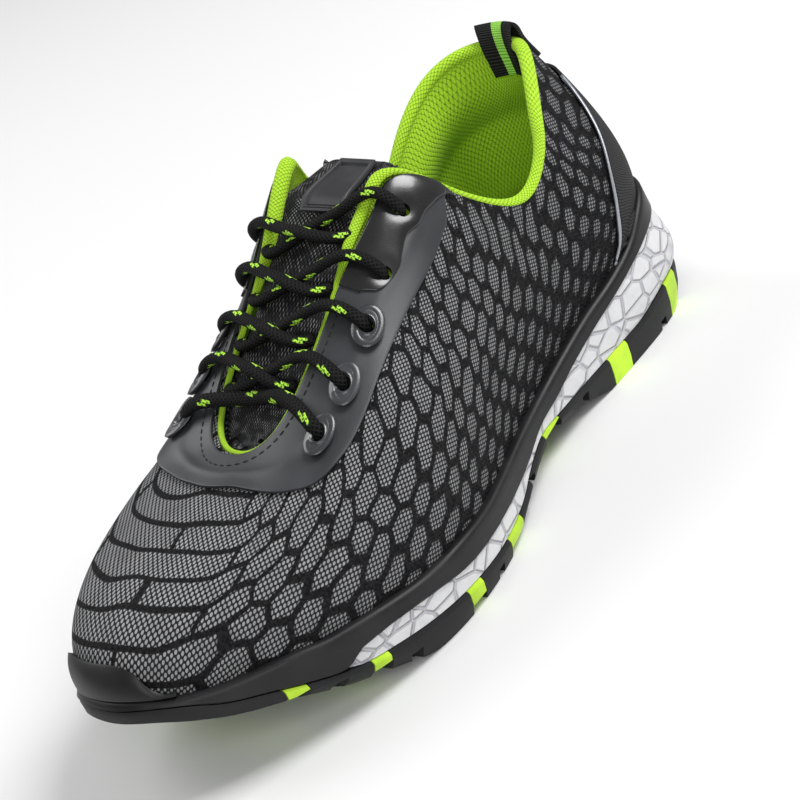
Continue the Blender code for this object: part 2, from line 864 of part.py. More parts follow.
def make_bumper(mat):
    """Rubber toe bumper that stands on the rim and lies on the toe of the upper."""
    top_at = steady([row[0] for row in BUMPER], [row[1:] for row in BUMPER])
    turns = spread(BUMPER[0][0], BUMPER[-1][0], 17)
    lower = []
    upper = []
    for k in range(BUMPER_ROWS):
        shares = []
        for t in turns:
            low = foot_share(t)
            shares.append(low + (max(float(top_at(t)[0]), 1.5 * low) - low) * k / (BUMPER_ROWS - 1))
        outer = BUMPER_LIFT[1] * (1 - 0.5 * (k / (BUMPER_ROWS - 1)) ** 2)
        lower.append([on_upper(t, s, BUMPER_LIFT[0]) for t, s in zip(turns, shares)])
        upper.append([on_upper(t, s, outer) for t, s in zip(turns, shares)])
    return sheet("toe_bumper", lower, upper, mat)


def under(turn, share):
    """Point just beneath the upper's inner face."""
    return on_upper(turn, share, -thickness(turn, share) - 3 * GAP)


TONGUE_AT = steady([row[0] for row in TONGUE], [row[1:] for row in TONGUE])


def tongue_point(turn, way):
    """Point on the tongue's top face: way is 0 at the throat's outer edge, 1 at its inner."""
    outer, outer_tuck = under(turn, 1.0), under(turn, 1 - TONGUE_TUCK)
    inner, inner_tuck = under(1 - turn, 1.0), under(1 - turn, 1 - TONGUE_TUCK)
    reach = float(TONGUE_AT(turn)[0]) * (outer - inner).length
    first = outer + (outer - outer_tuck).normalized() * reach
    second = inner + (inner - inner_tuck).normalized() * reach
    a = 1 - way
    return a**3 * outer + 3 * a * a * way * first + 3 * a * way**2 * second + way**3 * inner


def tongue_normal(turn, way):
    across = tongue_point(turn, way + 0.05) - tongue_point(turn, way - 0.05)
    ahead = tongue_point(turn + 0.01, way) - tongue_point(turn - 0.01, way)
    return across.cross(ahead).normalized()


def tongue_grid():
    """Rows of the tongue's top face, from its free end down to the toe."""
    rows = []
    for turn, _ in TONGUE:
        row = [under(turn, 1 - TONGUE_TUCK)]
        row += [tongue_point(turn, way) for way in spread(0.0, 1.0, TONGUE_STEPS + 1)]
        row.append(under(1 - turn, 1 - TONGUE_TUCK))
        rows.append(row[::-1])
    first = rows[0]
    middle = first[len(first) // 2]
    top = []
    for run, width in TONGUE_TOP:
        step = Vector((0, TONGUE_END * run, TONGUE_END_RISE * run))
        top.append([middle + (point - middle) * width + step for point in first])
    return top + rows


def grid_normals(grid):
    normals = []
    for r in range(len(grid)):
        line = []
        for c in range(len(grid[0])):
            r0, r1 = max(r - 1, 0), min(r + 1, len(grid) - 1)
            c0, c1 = max(c - 1, 0), min(c + 1, len(grid[0]) - 1)
            down = grid[r1][c] - grid[r0][c]
            over = grid[r][c1] - grid[r][c0]
            line.append(down.cross(over).normalized())
        normals.append(line)
    return normals


def make_tongue(mat):
    grid = tongue_grid()
    normals = grid_normals(grid)
    lower = []
    for r, row in enumerate(grid):
        line = []
        for c, point in enumerate(row):
            edge = 0.45 if c in (0, len(row) - 1) or r == 0 else 1.0
            line.append(point - normals[r][c] * TONGUE_THICK * edge)
        lower.append(line)
    return sheet("tongue", lower, grid, mat)


def make_badge(mat):
    """Rubber plate on the tongue, between its free end and the first lace."""
    grid = tongue_grid()[1:1 + BADGE_ROWS]
    normals = grid_normals(grid)
    columns = len(grid[0]) - 1
    lower = []
    upper = []
    for row, line in zip(grid, normals):
        places = []
        for way in spread(BADGE_ACROSS[0] * columns, BADGE_ACROSS[1] * columns, 5):
            c = int(way)
            places.append((row[c].lerp(row[c + 1], way - c), line[c].lerp(line[c + 1], way - c)))
        lower.append([point + normal * 2 * GAP for point, normal in places])
        upper.append([point + normal * (2 * GAP + BADGE_THICK) for point, normal in places])
    return sheet("tongue_badge", lower, upper, mat)


def loop_column(turn):
    """Path of the webbing's outer face at one turn, up outside, over and down inside."""
    off = GAP + LOOP_THICK
    outside = on_upper(turn, 1.0, off)
    inside = on_upper(turn, 1.0, -thickness(turn, 1.0) - off)
    path = [on_upper(turn, share, off) for share in LOOP_LEGS]
    middle = (outside + inside) / 2
    for k in range(7):
        angle = math.pi * k / 6
        point = middle + (outside - middle) * math.cos(angle)
        path.append(point + Vector((0, 0, LOOP_HEIGHT * math.sin(angle) + LOOP_CLEAR)))
    for share in LOOP_LEGS[::-1]:
        path.append(on_upper(turn, share, -thickness(turn, share) - off))
    return path


def make_pull_loop(mat):
    """Webbing that rises outside the collar and comes back down inside it."""
    metre = (outer_skin(0.01, 1.0) - outer_skin(-0.01, 1.0)).length / 0.02
    half = LOOP_WIDTH / 2 / metre
    columns = [loop_column(turn) for turn in (half, 0.0, -half)]
    upper = [list(row) for row in zip(*columns)]
    lower = []
    for r, row in enumerate(upper):
        before, after = upper[max(r - 1, 0)], upper[min(r + 1, len(upper) - 1)]
        across = row[-1] - row[0]
        run = after[1] - before[1]
        inward = across.cross(run).normalized() * LOOP_THICK
        lower.append([point + inward for point in row])
    return sheet("pull_loop", lower, upper, mat)


def tube(name, route, mat):
    """Round cord along a smooth curve through the route's points."""
    spline = cubic(range(len(route)), [list(p) for p in route])
    steps = LACE_STEPS * (len(route) - 1)
    line = [Vector(spline(k * (len(route) - 1) / steps)) for k in range(steps + 1)]
    points = []
    for k, point in enumerate(line):
        run = (line[min(k + 1, steps)] - line[max(k - 1, 0)]).normalized()
        flat = run.cross(Vector((0, 0, 1))).normalized()
        rise = flat.cross(run).normalized()
        for side in range(LACE_SIDES):
            angle = 2 * math.pi * side / LACE_SIDES
            points.append(point + (flat * math.cos(angle) + rise * math.sin(angle)) * LACE_RADIUS)
    faces = [tuple(range(LACE_SIDES))]
    for k in range(steps):
        low = k * LACE_SIDES
        for side in range(LACE_SIDES):
            a, b = low + side, low + (side + 1) % LACE_SIDES
            faces.append((a, a + LACE_SIDES, b + LACE_SIDES, b))
    last = steps * LACE_SIDES
    faces.append(tuple(last + side for side in reversed(range(LACE_SIDES))))
    return make_object(name, points, faces, mat)


def lace_over(number, side):
    """Two points of a strand that goes over the throat's edge and down to an eyelet."""
    turn, share = eyelet_place(number, side)
    clear = GAP + LACE_RADIUS
    face = EYESTAY_LIFT[1] if number < PAD_COUNT else PATCH_LIFT[1]
    rib = (outer_skin(turn, share + 0.02) - outer_skin(turn, share)).length / 0.02
    over = on_upper(turn, 1.0, face + clear)
    return [over, on_upper(turn, share + LACE_END / rib, PATCH_LIFT[1] + clear)]


def throat_turn(number, side):
    """Place of an eyelet along the throat, as a turn on the outer side."""
    turn = eyelet_place(number, side)[0]
    return turn if side > 0 else 1 - turn


def strand(name, number, side, rise, mat):
    """Cord from beneath one edge of the throat to the next eyelet of the other side."""
    here, there = throat_turn(number, -side), throat_turn(number + 1, -side)
    start = here + LACE_START * (there - here)
    middle = (throat_turn(number, -side) + throat_turn(number + 1, side)) / 2
    way = LACE_EDGE if side < 0 else 1 - LACE_EDGE
    clear = LACE_RADIUS + LACE_CLEAR
    route = [
        tongue_point(start, way) + tongue_normal(start, way) * clear,
        tongue_point(middle, 0.5) + tongue_normal(middle, 0.5) * (clear + rise),
    ]
    return tube(name, route + lace_over(number + 1, side), mat)


def make_laces(mat):
    """A bar over the lowest eyelets, then one crossing for each pair of eyelets."""
    turn = (throat_turn(0, 1) + throat_turn(0, -1)) / 2
    middle = tongue_point(turn, 0.5) + tongue_normal(turn, 0.5) * (LACE_RADIUS + GAP + LACE_BAR_RISE)
    tube("lace_bar", lace_over(0, 1)[::-1] + [middle] + lace_over(0, -1), mat)
    for number in range(len(EYELETS) - 1):
        low = strand(f"lace_cross_{number + 1}", number, 1, 0.0, mat)
        high = strand("lace_strand", number, -1, LACE_CROSS_RISE, mat)
        join = low.modifiers.new("join", "BOOLEAN")
        join.operation = "UNION"
        join.object = hide_cutter(high)
        join.solver = "EXACT"


def block(name, low, high):
    """Box between two corners, used as a cutter."""
    bm = bmesh.new()
    bmesh.ops.create_cube(bm, size=1.0)
    for vert in bm.verts:
        for axis in range(3):
            vert.co[axis] = low[axis] if vert.co[axis] < 0 else high[axis]
    mesh = bpy.data.meshes.new(name)
    bm.to_mesh(mesh)
    bm.free()
    obj = bpy.data.objects.new(name, mesh)
    bpy.context.scene.collection.objects.link(obj)
    return obj


def edge_across(along, side):
    """X of the outline on one side at a share of the length."""
    turn = turn_of(along)
    return on_outline(turn if side > 0 else 1 - turn).x


def grip_cutter(along, width, grow):
    """Strip across the tread with a block at each end, grown by a clearance."""
    y = HEEL_REST - along * LENGTH
    half = width / 2 + grow
    ground = min(height("ground", along + k * width / LENGTH) for k in (-0.5, 0.0, 0.5))
    wide = BALL_WIDTH
    below = -SOLE_HEIGHT
    strip = block("grip_cutter", (-wide, y - half, below), (wide, y + half, ground + GRIP_DEPTH + grow))
    for side in (1, -1):
        inner = edge_across(along, side) - side * (GRIP_BLOCK + grow)
        low = (min(inner, side * wide), y - half, below)
        high = (max(inner, side * wide), y + half, SOLE_HEIGHT + LENGTH / 10)
        end = hide_cutter(block("grip_end", low, high))
        join = strip.modifiers.new("join", "BOOLEAN")
        join.operation = "UNION"
        join.object = end
        join.solver = "EXACT"
    return hide_cutter(strip)


def make_outsole(rubber, green):
    """Black tread with its green bars let in and its grooves cut."""
    outsole = tread_form("outsole", rubber)
    for number, (along, width) in enumerate(GRIP_BARS, start=1):
        bar = tread_form(f"grip_bar_{number}", green)
        cut = bar.modifiers.new("cut", "BOOLEAN")
        cut.operation = "INTERSECT"
        cut.object = grip_cutter(along, width, 0.0)
        cut.solver = "EXACT"
        drill(outsole, [grip_cutter(along, width, GAP)])
    for along in GROOVES:
        y = HEEL_REST - along * LENGTH
        half = GROOVE_WIDTH / 2
        top = height("ground", along) + GROOVE_DEPTH
        low = (-BALL_WIDTH, y - half, -SOLE_HEIGHT)
        drill(outsole, [hide_cutter(block("groove", low, (BALL_WIDTH, y + half, top)))])


def main():
    clear_scene()
    rubber = material("black_rubber", (0.015, 0.015, 0.016), 0.62)
    green = material("green_rubber", (0.45, 0.68, 0.04), 0.55)
    foam = material("white_foam", (0.80, 0.80, 0.79), 0.55)
    carrier = material("black_carrier", (0.020, 0.020, 0.022), 0.50)
    bed = material("black_footbed", (0.018, 0.018, 0.020), 0.85)
    knit = material("black_grey_knit", (0.055, 0.057, 0.060), 0.80)
    film = material("satin_film", (0.030, 0.031, 0.034), 0.38)
    gloss = material("moulded_gloss", (0.012, 0.012, 0.013), 0.22)
    fabric = material("black_fabric", (0.015, 0.015, 0.017), 0.85)
    silver = material("reflective_grey", (0.32, 0.34, 0.37), 0.45)
    webbing = material("loop_webbing", (0.020, 0.022, 0.020), 0.80)
    cord = material("lace_cord", (0.016, 0.017, 0.016), 0.75)
    make_outsole(rubber, green)
    make_midsole(foam)
    make_rim(carrier)
    make_insole(bed)
    body = make_upper(knit)
    eyestay = make_eyestay(film)
    make_bumper(rubber)
    make_counter(fabric)
    for side in (1, -1):
        patch = make_top_patch(side, gloss)
        make_strip(side, silver)
        for number in range(len(EYELETS)):
            cutter = eyelet_cutter(number, side)
            drill(body, [cutter])
            drill(eyestay, [cutter])
            if number < PAD_COUNT:
                make_eyelet_pad(number, side, film)
            else:
                drill(patch, [cutter])
    make_tongue(fabric)
    make_badge(rubber)
    make_laces(cord)
    make_pull_loop(webbing)


if __name__ == "__main__":
    main()
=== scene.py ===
# %% [markdown]
# # Safety sneaker, left shoe
# A lightweight work shoe: a printed knit upper over a stiff toe cap, a welded film round
# the throat, a lime lining, round laces, white bead foam and a black tread with green bars.
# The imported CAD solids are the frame. This script lays finished pieces over them and
# gives every surface its material. The script can be read from top to bottom: first the
# shape of the last, then the pieces from the floor up, and at the end the light.

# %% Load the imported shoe
import math

import bpy
import numpy as np
from mathutils import Matrix, Vector


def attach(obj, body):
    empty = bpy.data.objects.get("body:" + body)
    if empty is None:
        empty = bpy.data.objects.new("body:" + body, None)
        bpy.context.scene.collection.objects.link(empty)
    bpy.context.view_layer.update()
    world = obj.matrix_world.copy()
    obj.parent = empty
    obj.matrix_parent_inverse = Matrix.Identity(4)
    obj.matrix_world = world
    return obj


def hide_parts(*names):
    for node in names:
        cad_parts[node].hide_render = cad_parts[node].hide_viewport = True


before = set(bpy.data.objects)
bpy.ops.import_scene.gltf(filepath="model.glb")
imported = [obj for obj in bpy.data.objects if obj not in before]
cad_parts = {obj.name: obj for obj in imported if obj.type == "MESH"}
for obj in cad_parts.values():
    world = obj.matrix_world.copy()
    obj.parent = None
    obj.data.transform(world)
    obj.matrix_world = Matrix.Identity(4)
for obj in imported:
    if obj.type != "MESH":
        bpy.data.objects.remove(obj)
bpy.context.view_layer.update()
bpy.ops.object.select_all(action="DESELECT")
MM = 0.001

# %% [markdown]
# ## The camera
# The photograph looks down on the outer side of the toe, and the camera was rolled, so the
# shoe climbs the picture. The place and the three directions were found by fitting the
# sole's outline, and the lens is long, which keeps the toe from growing.

# %% Set the camera
CAMERA_PLACE = (0.5733, -0.6043, 0.4096)
CAMERA_RIGHT = (0.7414, 0.5369, -0.4027)
CAMERA_DOWN = (-0.0088, -0.5922, -0.8058)
CAMERA_AHEAD = (-0.6710, 0.6009, -0.4343)
LENS = 108.0
SENSOR = 36.0

bpy.ops.object.camera_add(location=CAMERA_PLACE)
camera = bpy.context.object
turned = Matrix((CAMERA_RIGHT, -Vector(CAMERA_DOWN), -Vector(CAMERA_AHEAD))).transposed()
camera.rotation_mode = "QUATERNION"
camera.rotation_quaternion = turned.to_quaternion()
camera.data.lens = LENS
camera.data.sensor_width = SENSOR
camera.data.clip_start = 0.05
bpy.context.scene.camera = camera

# %% [markdown]
# ## The shape of the last
# A shoe is drawn on a last, a solid foot. Here the last is a function of two numbers, as
# the CAD source has it: turn goes round the shoe from the heel (0) by the outer side and
# the toe (0.5) back to the heel (1), and share goes up from the rim (0) to the opening (1).
# Every piece below is laid on that function, so that pieces which lie on each other fit.

# %% Sizes and sections of the last
LENGTH = 0.300
BALL_WIDTH = 0.111
SOLE_HEIGHT = 0.032
INSTEP_HEIGHT = 0.119
HEEL_REST = 0.045
GAP = 0.0003
RIM_WALL = 0.0042
TOE_LIP = 0.0018
CUP_WALL = 0.0024
FOAM_INSET = 0.0010
INSOLE_THICK = 0.0040
UPPER_WALL = 0.0025
COLLAR_PAD = 0.0065
FOAM_TIP = 0.828
FOAM_TIP_RUN = 0.012

# along the sole, then the outer and the inner edge as shares of the ball's width
OUTLINE = [
    (0.0167, 0.255, -0.240), (0.0667, 0.375, -0.345), (0.150, 0.400, -0.362),
    (0.267, 0.388, -0.350), (0.400, 0.412, -0.324), (0.500, 0.478, -0.347),
    (0.600, 0.550, -0.396), (0.683, 0.568, -0.428), (0.767, 0.532, -0.432),
    (0.850, 0.445, -0.425), (0.917, 0.325, -0.385), (0.967, 0.185, -0.305),
]
HEEL_CENTRE = 0.0
TOE_CENTRE = -0.060

# along, then the heights of the sole's lines as shares of the sole's height
SIDE_COLUMNS = ("ground", "tread", "lip", "foam", "rim", "bed")
SIDE = [
    (0.000, 0.120, 0.450, 0.450, 1.200, 1.600, 0.955),
    (0.040, 0.040, 0.450, 0.450, 1.170, 1.520, 0.955),
    (0.087, 0.000, 0.450, 0.450, 1.094, 1.375, 0.955),
    (0.125, 0.000, 0.410, 0.410, 1.010, 1.200, 0.955),
    (0.180, 0.000, 0.350, 0.350, 0.887, 1.060, 0.945),
    (0.250, 0.000, 0.348, 0.348, 0.760, 0.960, 0.870),
    (0.305, 0.160, 0.360, 0.360, 0.660, 0.865, 0.790),
    (0.360, 0.270, 0.390, 0.390, 0.560, 0.785, 0.710),
    (0.410, 0.290, 0.440, 0.440, 0.530, 0.735, 0.645),
    (0.465, 0.215, 0.350, 0.350, 0.440, 0.710, 0.575),
    (0.510, 0.140, 0.240, 0.240, 0.415, 0.695, 0.545),
    (0.560, 0.000, 0.219, 0.219, 0.425, 0.695, 0.535),
    (0.655, 0.000, 0.275, 0.275, 0.481, 0.760, 0.562),
    (0.713, 0.000, 0.325, 0.325, 0.575, 0.790, 0.630),
    (0.748, 0.030, 0.365, 0.365, 0.620, 0.830, 0.675),
    (0.782, 0.150, 0.412, 0.412, 0.647, 0.875, 0.715),
    (0.815, 0.250, 0.460, 0.460, 0.640, 0.912, 0.735),
    (0.840, 0.320, 0.520, 0.520, 0.535, 0.938, 0.755),
    (0.870, 0.430, 0.570, 0.620, 0.620, 1.000, 0.780),
    (0.910, 0.570, 0.660, 0.770, 0.770, 1.044, 0.830),
    (0.945, 0.700, 0.765, 0.894, 0.894, 1.080, 0.885),
    (0.970, 0.820, 0.875, 1.030, 1.030, 1.140, 1.000),
    (1.000, 0.950, 1.000, 1.120, 1.120, 1.230, 1.110),
]
# along, then how far the underside's edge lies inside the outline
UNDERCUT = [
    (0.00, 0.045), (0.10, 0.022), (0.35, 0.012), (0.45, 0.012),
    (0.60, 0.018), (0.80, 0.030), (0.92, 0.070), (1.00, 0.110),
]
# turn, then along, across and up of the opening's edge
OPENING = [
    (0.000, 0.020, -0.005, 0.930), (0.045, 0.047, 0.130, 0.905), (0.085, 0.128, 0.262, 0.805),
    (0.120, 0.177, 0.315, 0.718), (0.150, 0.243, 0.325, 0.668), (0.172, 0.300, 0.310, 0.760),
    (0.190, 0.340, 0.270, 0.880), (0.203, 0.366, 0.226, 0.965), (0.212, 0.385, 0.195, 0.988),
    (0.225, 0.415, 0.180, 0.960), (0.260, 0.490, 0.155, 0.865), (0.300, 0.568, 0.138, 0.755),
    (0.350, 0.640, 0.105, 0.650), (0.400, 0.675, 0.062, 0.605), (0.450, 0.689, 0.012, 0.592),
    (0.500, 0.692, -0.030, 0.595), (0.550, 0.688, -0.075, 0.600), (0.600, 0.675, -0.125, 0.618),
    (0.650, 0.640, -0.168, 0.665), (0.700, 0.568, -0.190, 0.765), (0.740, 0.490, -0.200, 0.875),
    (0.775, 0.415, -0.212, 1.000), (0.788, 0.385, -0.220, 1.040), (0.797, 0.366, -0.240, 1.025),
    (0.810, 0.340, -0.278, 0.910), (0.828, 0.300, -0.310, 0.790), (0.850, 0.243, -0.318, 0.700),
    (0.880, 0.180, -0.292, 0.790), (0.915, 0.108, -0.255, 0.900), (0.955, 0.050, -0.150, 0.943),
]
# turn, then how the rib swells at its foot and at its edge, and its wall
RIBS = [
    (0.000, 0.045, 0.40, 0.090, -0.35, 1.0), (0.060, 0.045, 0.40, 0.075, -0.35, 1.0),
    (0.120, 0.035, 0.40, 0.030, -0.30, 1.0), (0.165, 0.015, 0.40, 0.030, -0.30, 1.0),
    (0.205, 0.010, 0.38, 0.170, -0.25, 1.0), (0.250, 0.010, 0.38, 0.250, -0.16, 1.0),
    (0.305, 0.010, 0.38, 0.260, -0.13, 1.0), (0.360, 0.005, 0.45, 0.300, -0.20, 1.1),
    (0.420, -0.005, 0.62, 0.350, -0.24, 1.5), (0.500, 0.005, 0.74, 0.440, -0.26, 1.6),
    (0.580, 0.035, 0.74, 0.420, -0.18, 1.5), (0.640, 0.035, 0.58, 0.340, -0.12, 1.1),
    (0.695, 0.015, 0.45, 0.240, -0.10, 1.0), (0.750, 0.010, 0.42, 0.170, -0.15, 1.0),
    (0.795, 0.010, 0.40, 0.110, -0.25, 1.0), (0.835, 0.015, 0.40, 0.030, -0.30, 1.0),
    (0.880, 0.035, 0.40, 0.030, -0.30, 1.0), (0.940, 0.045, 0.40, 0.075, -0.35, 1.0),
]
# turn, then the share of the collar's padding
PADDING = [
    (0.000, 1.0), (0.100, 1.0), (0.160, 0.9), (0.195, 0.3), (0.225, 0.0),
    (0.775, 0.0), (0.805, 0.3), (0.840, 0.9), (0.900, 1.0), (1.000, 1.0),
]


# %% Curves through the sections
def cubic(knots, rows):
    """Natural cubic spline through the rows, as a function of the knot value."""
    x = np.asarray(knots, float)
    y = np.asarray(rows, float).reshape(len(x), -1)
    step = np.diff(x)
    count = len(x)
    matrix = np.eye(count)
    right = np.zeros(y.shape)
    for i in range(1, count - 1):
        matrix[i, i - 1:i + 2] = step[i - 1], 2 * (step[i - 1] + step[i]), step[i]
        right[i] = 6 * ((y[i + 1] - y[i]) / step[i] - (y[i] - y[i - 1]) / step[i - 1])
    bend = np.linalg.solve(matrix, right)

    def at(value):
        value = np.asarray(value, float)
        i = np.clip(np.searchsorted(x, value) - 1, 0, count - 2)
        a = ((x[i + 1] - value) / step[i])[..., None]
        b = 1 - a
        curve = (a**3 - a) * bend[i] + (b**3 - b) * bend[i + 1]
        return a * y[i] + b * y[i + 1] + curve * (step[i] ** 2)[..., None] / 6

    return at


def ring_cubic(rows):
    """Cubic spline that repeats after one turn; the first column is the turn."""
    rows = np.asarray(rows, float)
    laps = np.concatenate([rows[:, 0] + lap for lap in (-1, 0, 1)])
    spline = cubic(laps, np.tile(rows[:, 1:], (3, 1)))
    return lambda turn: spline(np.mod(turn, 1.0))


def steady(rows):
    """Curve that stays between its rows; the first column is where each row stands."""
    rows = np.asarray(rows, float)
    x, y = rows[:, 0], rows[:, 1:]
    step = np.diff(x)[:, None]
    slope = np.diff(y, axis=0) / step
    lean = np.zeros(y.shape)
    low = np.minimum(np.abs(slope[:-1]), np.abs(slope[1:]))
    mean = (slope[:-1] + slope[1:]) / 2
    same = slope[:-1] * slope[1:] > 0
    lean[1:-1] = np.where(same, np.sign(mean) * np.minimum(np.abs(mean), 3 * low), 0.0)

    def at(value):
        value = np.asarray(value, float)
        i = np.clip(np.searchsorted(x, value) - 1, 0, len(x) - 2)
        b = np.clip((value - x[i]) / step[i, 0], 0.0, 1.0)[..., None]
        start = (1 + 2 * b) * (1 - b) ** 2 * y[i] + b**2 * (3 - 2 * b) * y[i + 1]
        return start + step[i] * (b * (1 - b) ** 2 * lean[i] - b**2 * (1 - b) * lean[i + 1])

    return at


def between(start, end, share):
    return start + (end - start) * share


def handled(start, leave, arrive, end, share):
    """Curve from start to end that sets out towards one handle and comes in from the other."""
    s = share[..., None]
    a = 1 - s
    return a**3 * start + 3 * a * a * s * leave + 3 * a * s**2 * arrive + s**3 * end


def bell(value, middle, reach):
    """Smooth hump: 1 at the middle, and fading out within the reach on both sides."""
    return np.exp(-(((value - middle) / reach) ** 2))


def run_up(steps):
    """Sums of the steps so far, starting at 0."""
    return np.concatenate([[0.0], np.cumsum(steps)])


def way_along(line):
    """Distance along a line of points, at each of its points."""
    return run_up(np.linalg.norm(np.diff(line, axis=0), axis=1))


def sided(value, side):
    """The value itself on the outer side (1), and its mirror value on the inner side (-1)."""
    return value if side > 0 else 1 - value


def turn_of(along):
    """Turn on the outer side at which the outline is that share of the length along."""
    return math.acos(1 - 2 * along) / (2 * math.pi)


def along_at(turn):
    return (1 - np.cos(2 * np.pi * np.asarray(turn, float))) / 2


outer_edge = [(turn_of(along), lateral) for along, lateral, _ in OUTLINE]
inner_edge = [(1 - turn_of(along), medial) for along, _, medial in reversed(OUTLINE)]
across_at = ring_cubic([(0.0, HEEL_CENTRE)] + outer_edge + [(0.5, TOE_CENTRE)] + inner_edge)
side_at = steady(SIDE)
undercut_at = steady(UNDERCUT)
opening_at = ring_cubic(OPENING)
ribs_at = ring_cubic(RIBS)
padding_at = steady(PADDING)
print("heel rim height in mm:", round(float(side_at(0.0)[4]) * SOLE_HEIGHT / MM, 1))


# %% The outer face of the upper
def place(along, across, up):
    return np.stack([across * BALL_WIDTH, HEEL_REST - along * LENGTH, up], axis=-1)


def on_outline(turn):
    return place(along_at(turn), across_at(turn)[..., 0], 0.0 * np.asarray(turn, float))


def unit(vectors):
    return vectors / (np.linalg.norm(vectors, axis=-1, keepdims=True) + 1e-12)


def outward(turn):
    """Level unit vector that points out of the outline."""
    ahead = on_outline(turn + 0.002) - on_outline(turn - 0.002)
    return unit(np.stack([-ahead[..., 1], ahead[..., 0], 0 * ahead[..., 0]], axis=-1))


def height(column, along):
    return side_at(along)[..., SIDE_COLUMNS.index(column)] * SOLE_HEIGHT


def along_of(points):
    return (HEEL_REST - points[..., 1]) / LENGTH


def sole_point(turn, inset, column, lift=0.0):
    """Point inset from the outline, on one of the sole's lines or lifted off it."""
    points = on_outline(turn) - outward(turn) * np.asarray(inset, float)[..., None]
    points[..., 2] = height(column, along_of(points)) + lift
    return points


def rib(turn):
    """The four handles of the upper's rib at that turn."""
    foot = sole_point(turn, RIM_WALL + GAP, "rim")
    along, across, up = np.moveaxis(opening_at(turn), -1, 0)
    edge = place(along, across, up * INSTEP_HEIGHT)
    foot_out, foot_up, edge_out, edge_up, _ = np.moveaxis(ribs_at(turn), -1, 0)
    rise = edge[..., 2] - foot[..., 2]
    out = outward(turn) * BALL_WIDTH
    top = np.array([0.0, 0.0, 1.0])
    low = foot + out * foot_out[..., None] + top * (foot_up * rise)[..., None]
    high = edge + out * edge_out[..., None] + top * (edge_up * rise)[..., None]
    return foot, low, high, edge


def skin(turn, share):
    """Outer face of the upper: share 0 at the rim, 1 at the opening, -1 on the tray's floor."""
    turn, share = np.broadcast_arrays(np.asarray(turn, float), np.asarray(share, float))
    foot, low, high, edge = rib(turn)
    points = handled(foot, low, high, edge, np.maximum(share, 0.0))
    bottom = height("bed", along_of(foot)) + GAP
    points[..., 2] += np.minimum(share, 0.0) * (foot[..., 2] - bottom)
    return points


def skin_normal(turn, share):
    turn, share = np.broadcast_arrays(np.asarray(turn, float), np.asarray(share, float))
    up = skin(turn, np.minimum(share + 0.02, 1.0)) - skin(turn, np.maximum(share - 0.02, 0.0))
    low = np.maximum(share, 0.0)
    ahead = skin(turn + 0.003, low) - skin(turn - 0.003, low)
    return np.where((share <= 0)[..., None], outward(turn), unit(np.cross(up, ahead)))


def thickness(turn, share):
    """Wall of the upper with the collar's padding."""
    swell = np.sin(np.pi * np.clip((share - 0.45) / 0.60, 0.0, 1.0))
    padding = COLLAR_PAD * padding_at(np.mod(turn, 1.0))[..., 0] * swell
    return ribs_at(turn)[..., 4] * UPPER_WALL + padding


def metres_per_turn(turn, share, reach=0.005):
    """How far the skin goes round the shoe in one whole turn, measured at one place."""
    ahead = skin(turn + reach, share) - skin(turn - reach, share)
    return np.linalg.norm(ahead, axis=-1) / (2 * reach)


# %% [markdown]
# ## Soft creases
# The shoe in the photograph is new, so its upper has only soft hollows and rises: where the
# stiff toe cap ends under the knit, where the vamp flexes beside the lowest eyelet, and
# where the quarter is pulled by the laces. Each is one row: its place on the last, its
# reach and its depth. All the pieces that lie on the upper follow it.

# %% Creases of the upper
CREASES = [
    # turn, share, reach in turn, reach in share, lift in metres
    (0.425, 0.62, 0.030, 0.10, -0.0007),
    (0.500, 0.66, 0.060, 0.07, -0.0006),
    (0.570, 0.60, 0.035, 0.10, -0.0008),
    (0.375, 0.45, 0.016, 0.22, -0.0007),
    (0.352, 0.35, 0.012, 0.20, 0.0006),
    (0.330, 0.40, 0.014, 0.20, -0.0006),
    (0.270, 0.40, 0.020, 0.25, -0.0005),
    (0.215, 0.45, 0.018, 0.22, 0.0006),
    (0.165, 0.55, 0.020, 0.22, -0.0007),
    (0.120, 0.50, 0.022, 0.22, 0.0005),
    (0.650, 0.45, 0.018, 0.24, -0.0007),
    (0.720, 0.45, 0.024, 0.24, -0.0006),
    (0.830, 0.55, 0.024, 0.24, -0.0006),
]


def relief(turn, share):
    total = np.zeros(np.broadcast(turn, share).shape)
    for t, s, wide, tall, lift in CREASES:
        total += lift * bell(turn, t, wide) * bell(share, s, tall)
    return total


def on_skin(turn, share, lift):
    """Point lifted off the upper's outer face, or sunk into it below zero."""
    out = relief(np.mod(turn, 1.0), share) + lift
    return skin(turn, share) + skin_normal(turn, share) * np.asarray(out)[..., None]


# %% [markdown]
# ## Laying a piece
# Nearly every part of a shoe starts as a flat sheet that is pulled over the last. So a
# piece starts here as Blender's grid primitive. Its corners are moved to their places on
# the last, its two sides are merged where it goes all the way round, and modifiers give
# it thickness and soft edges. A UV map in metres keeps the true size of the cloth.

# %% Helpers that lay, join and finish a piece
def pick(piece):
    bpy.ops.object.select_all(action="DESELECT")
    piece.select_set(True)
    bpy.context.view_layer.objects.active = piece


def in_edit(piece, *steps):
    """Run mesh operators on the whole piece in edit mode."""
    pick(piece)
    bpy.ops.object.mode_set(mode="EDIT")
    bpy.ops.mesh.select_all(action="SELECT")
    for step in steps:
        step()
    bpy.ops.object.mode_set(mode="OBJECT")


def merge(piece, distance=2e-6):
    in_edit(piece, lambda: bpy.ops.mesh.remove_doubles(threshold=distance))


def soften(piece, degrees):
    """Shade smooth, but keep the edges that turn by more than this angle crisp."""
    pick(piece)
    bpy.ops.object.shade_smooth_by_angle(angle=math.radians(degrees))


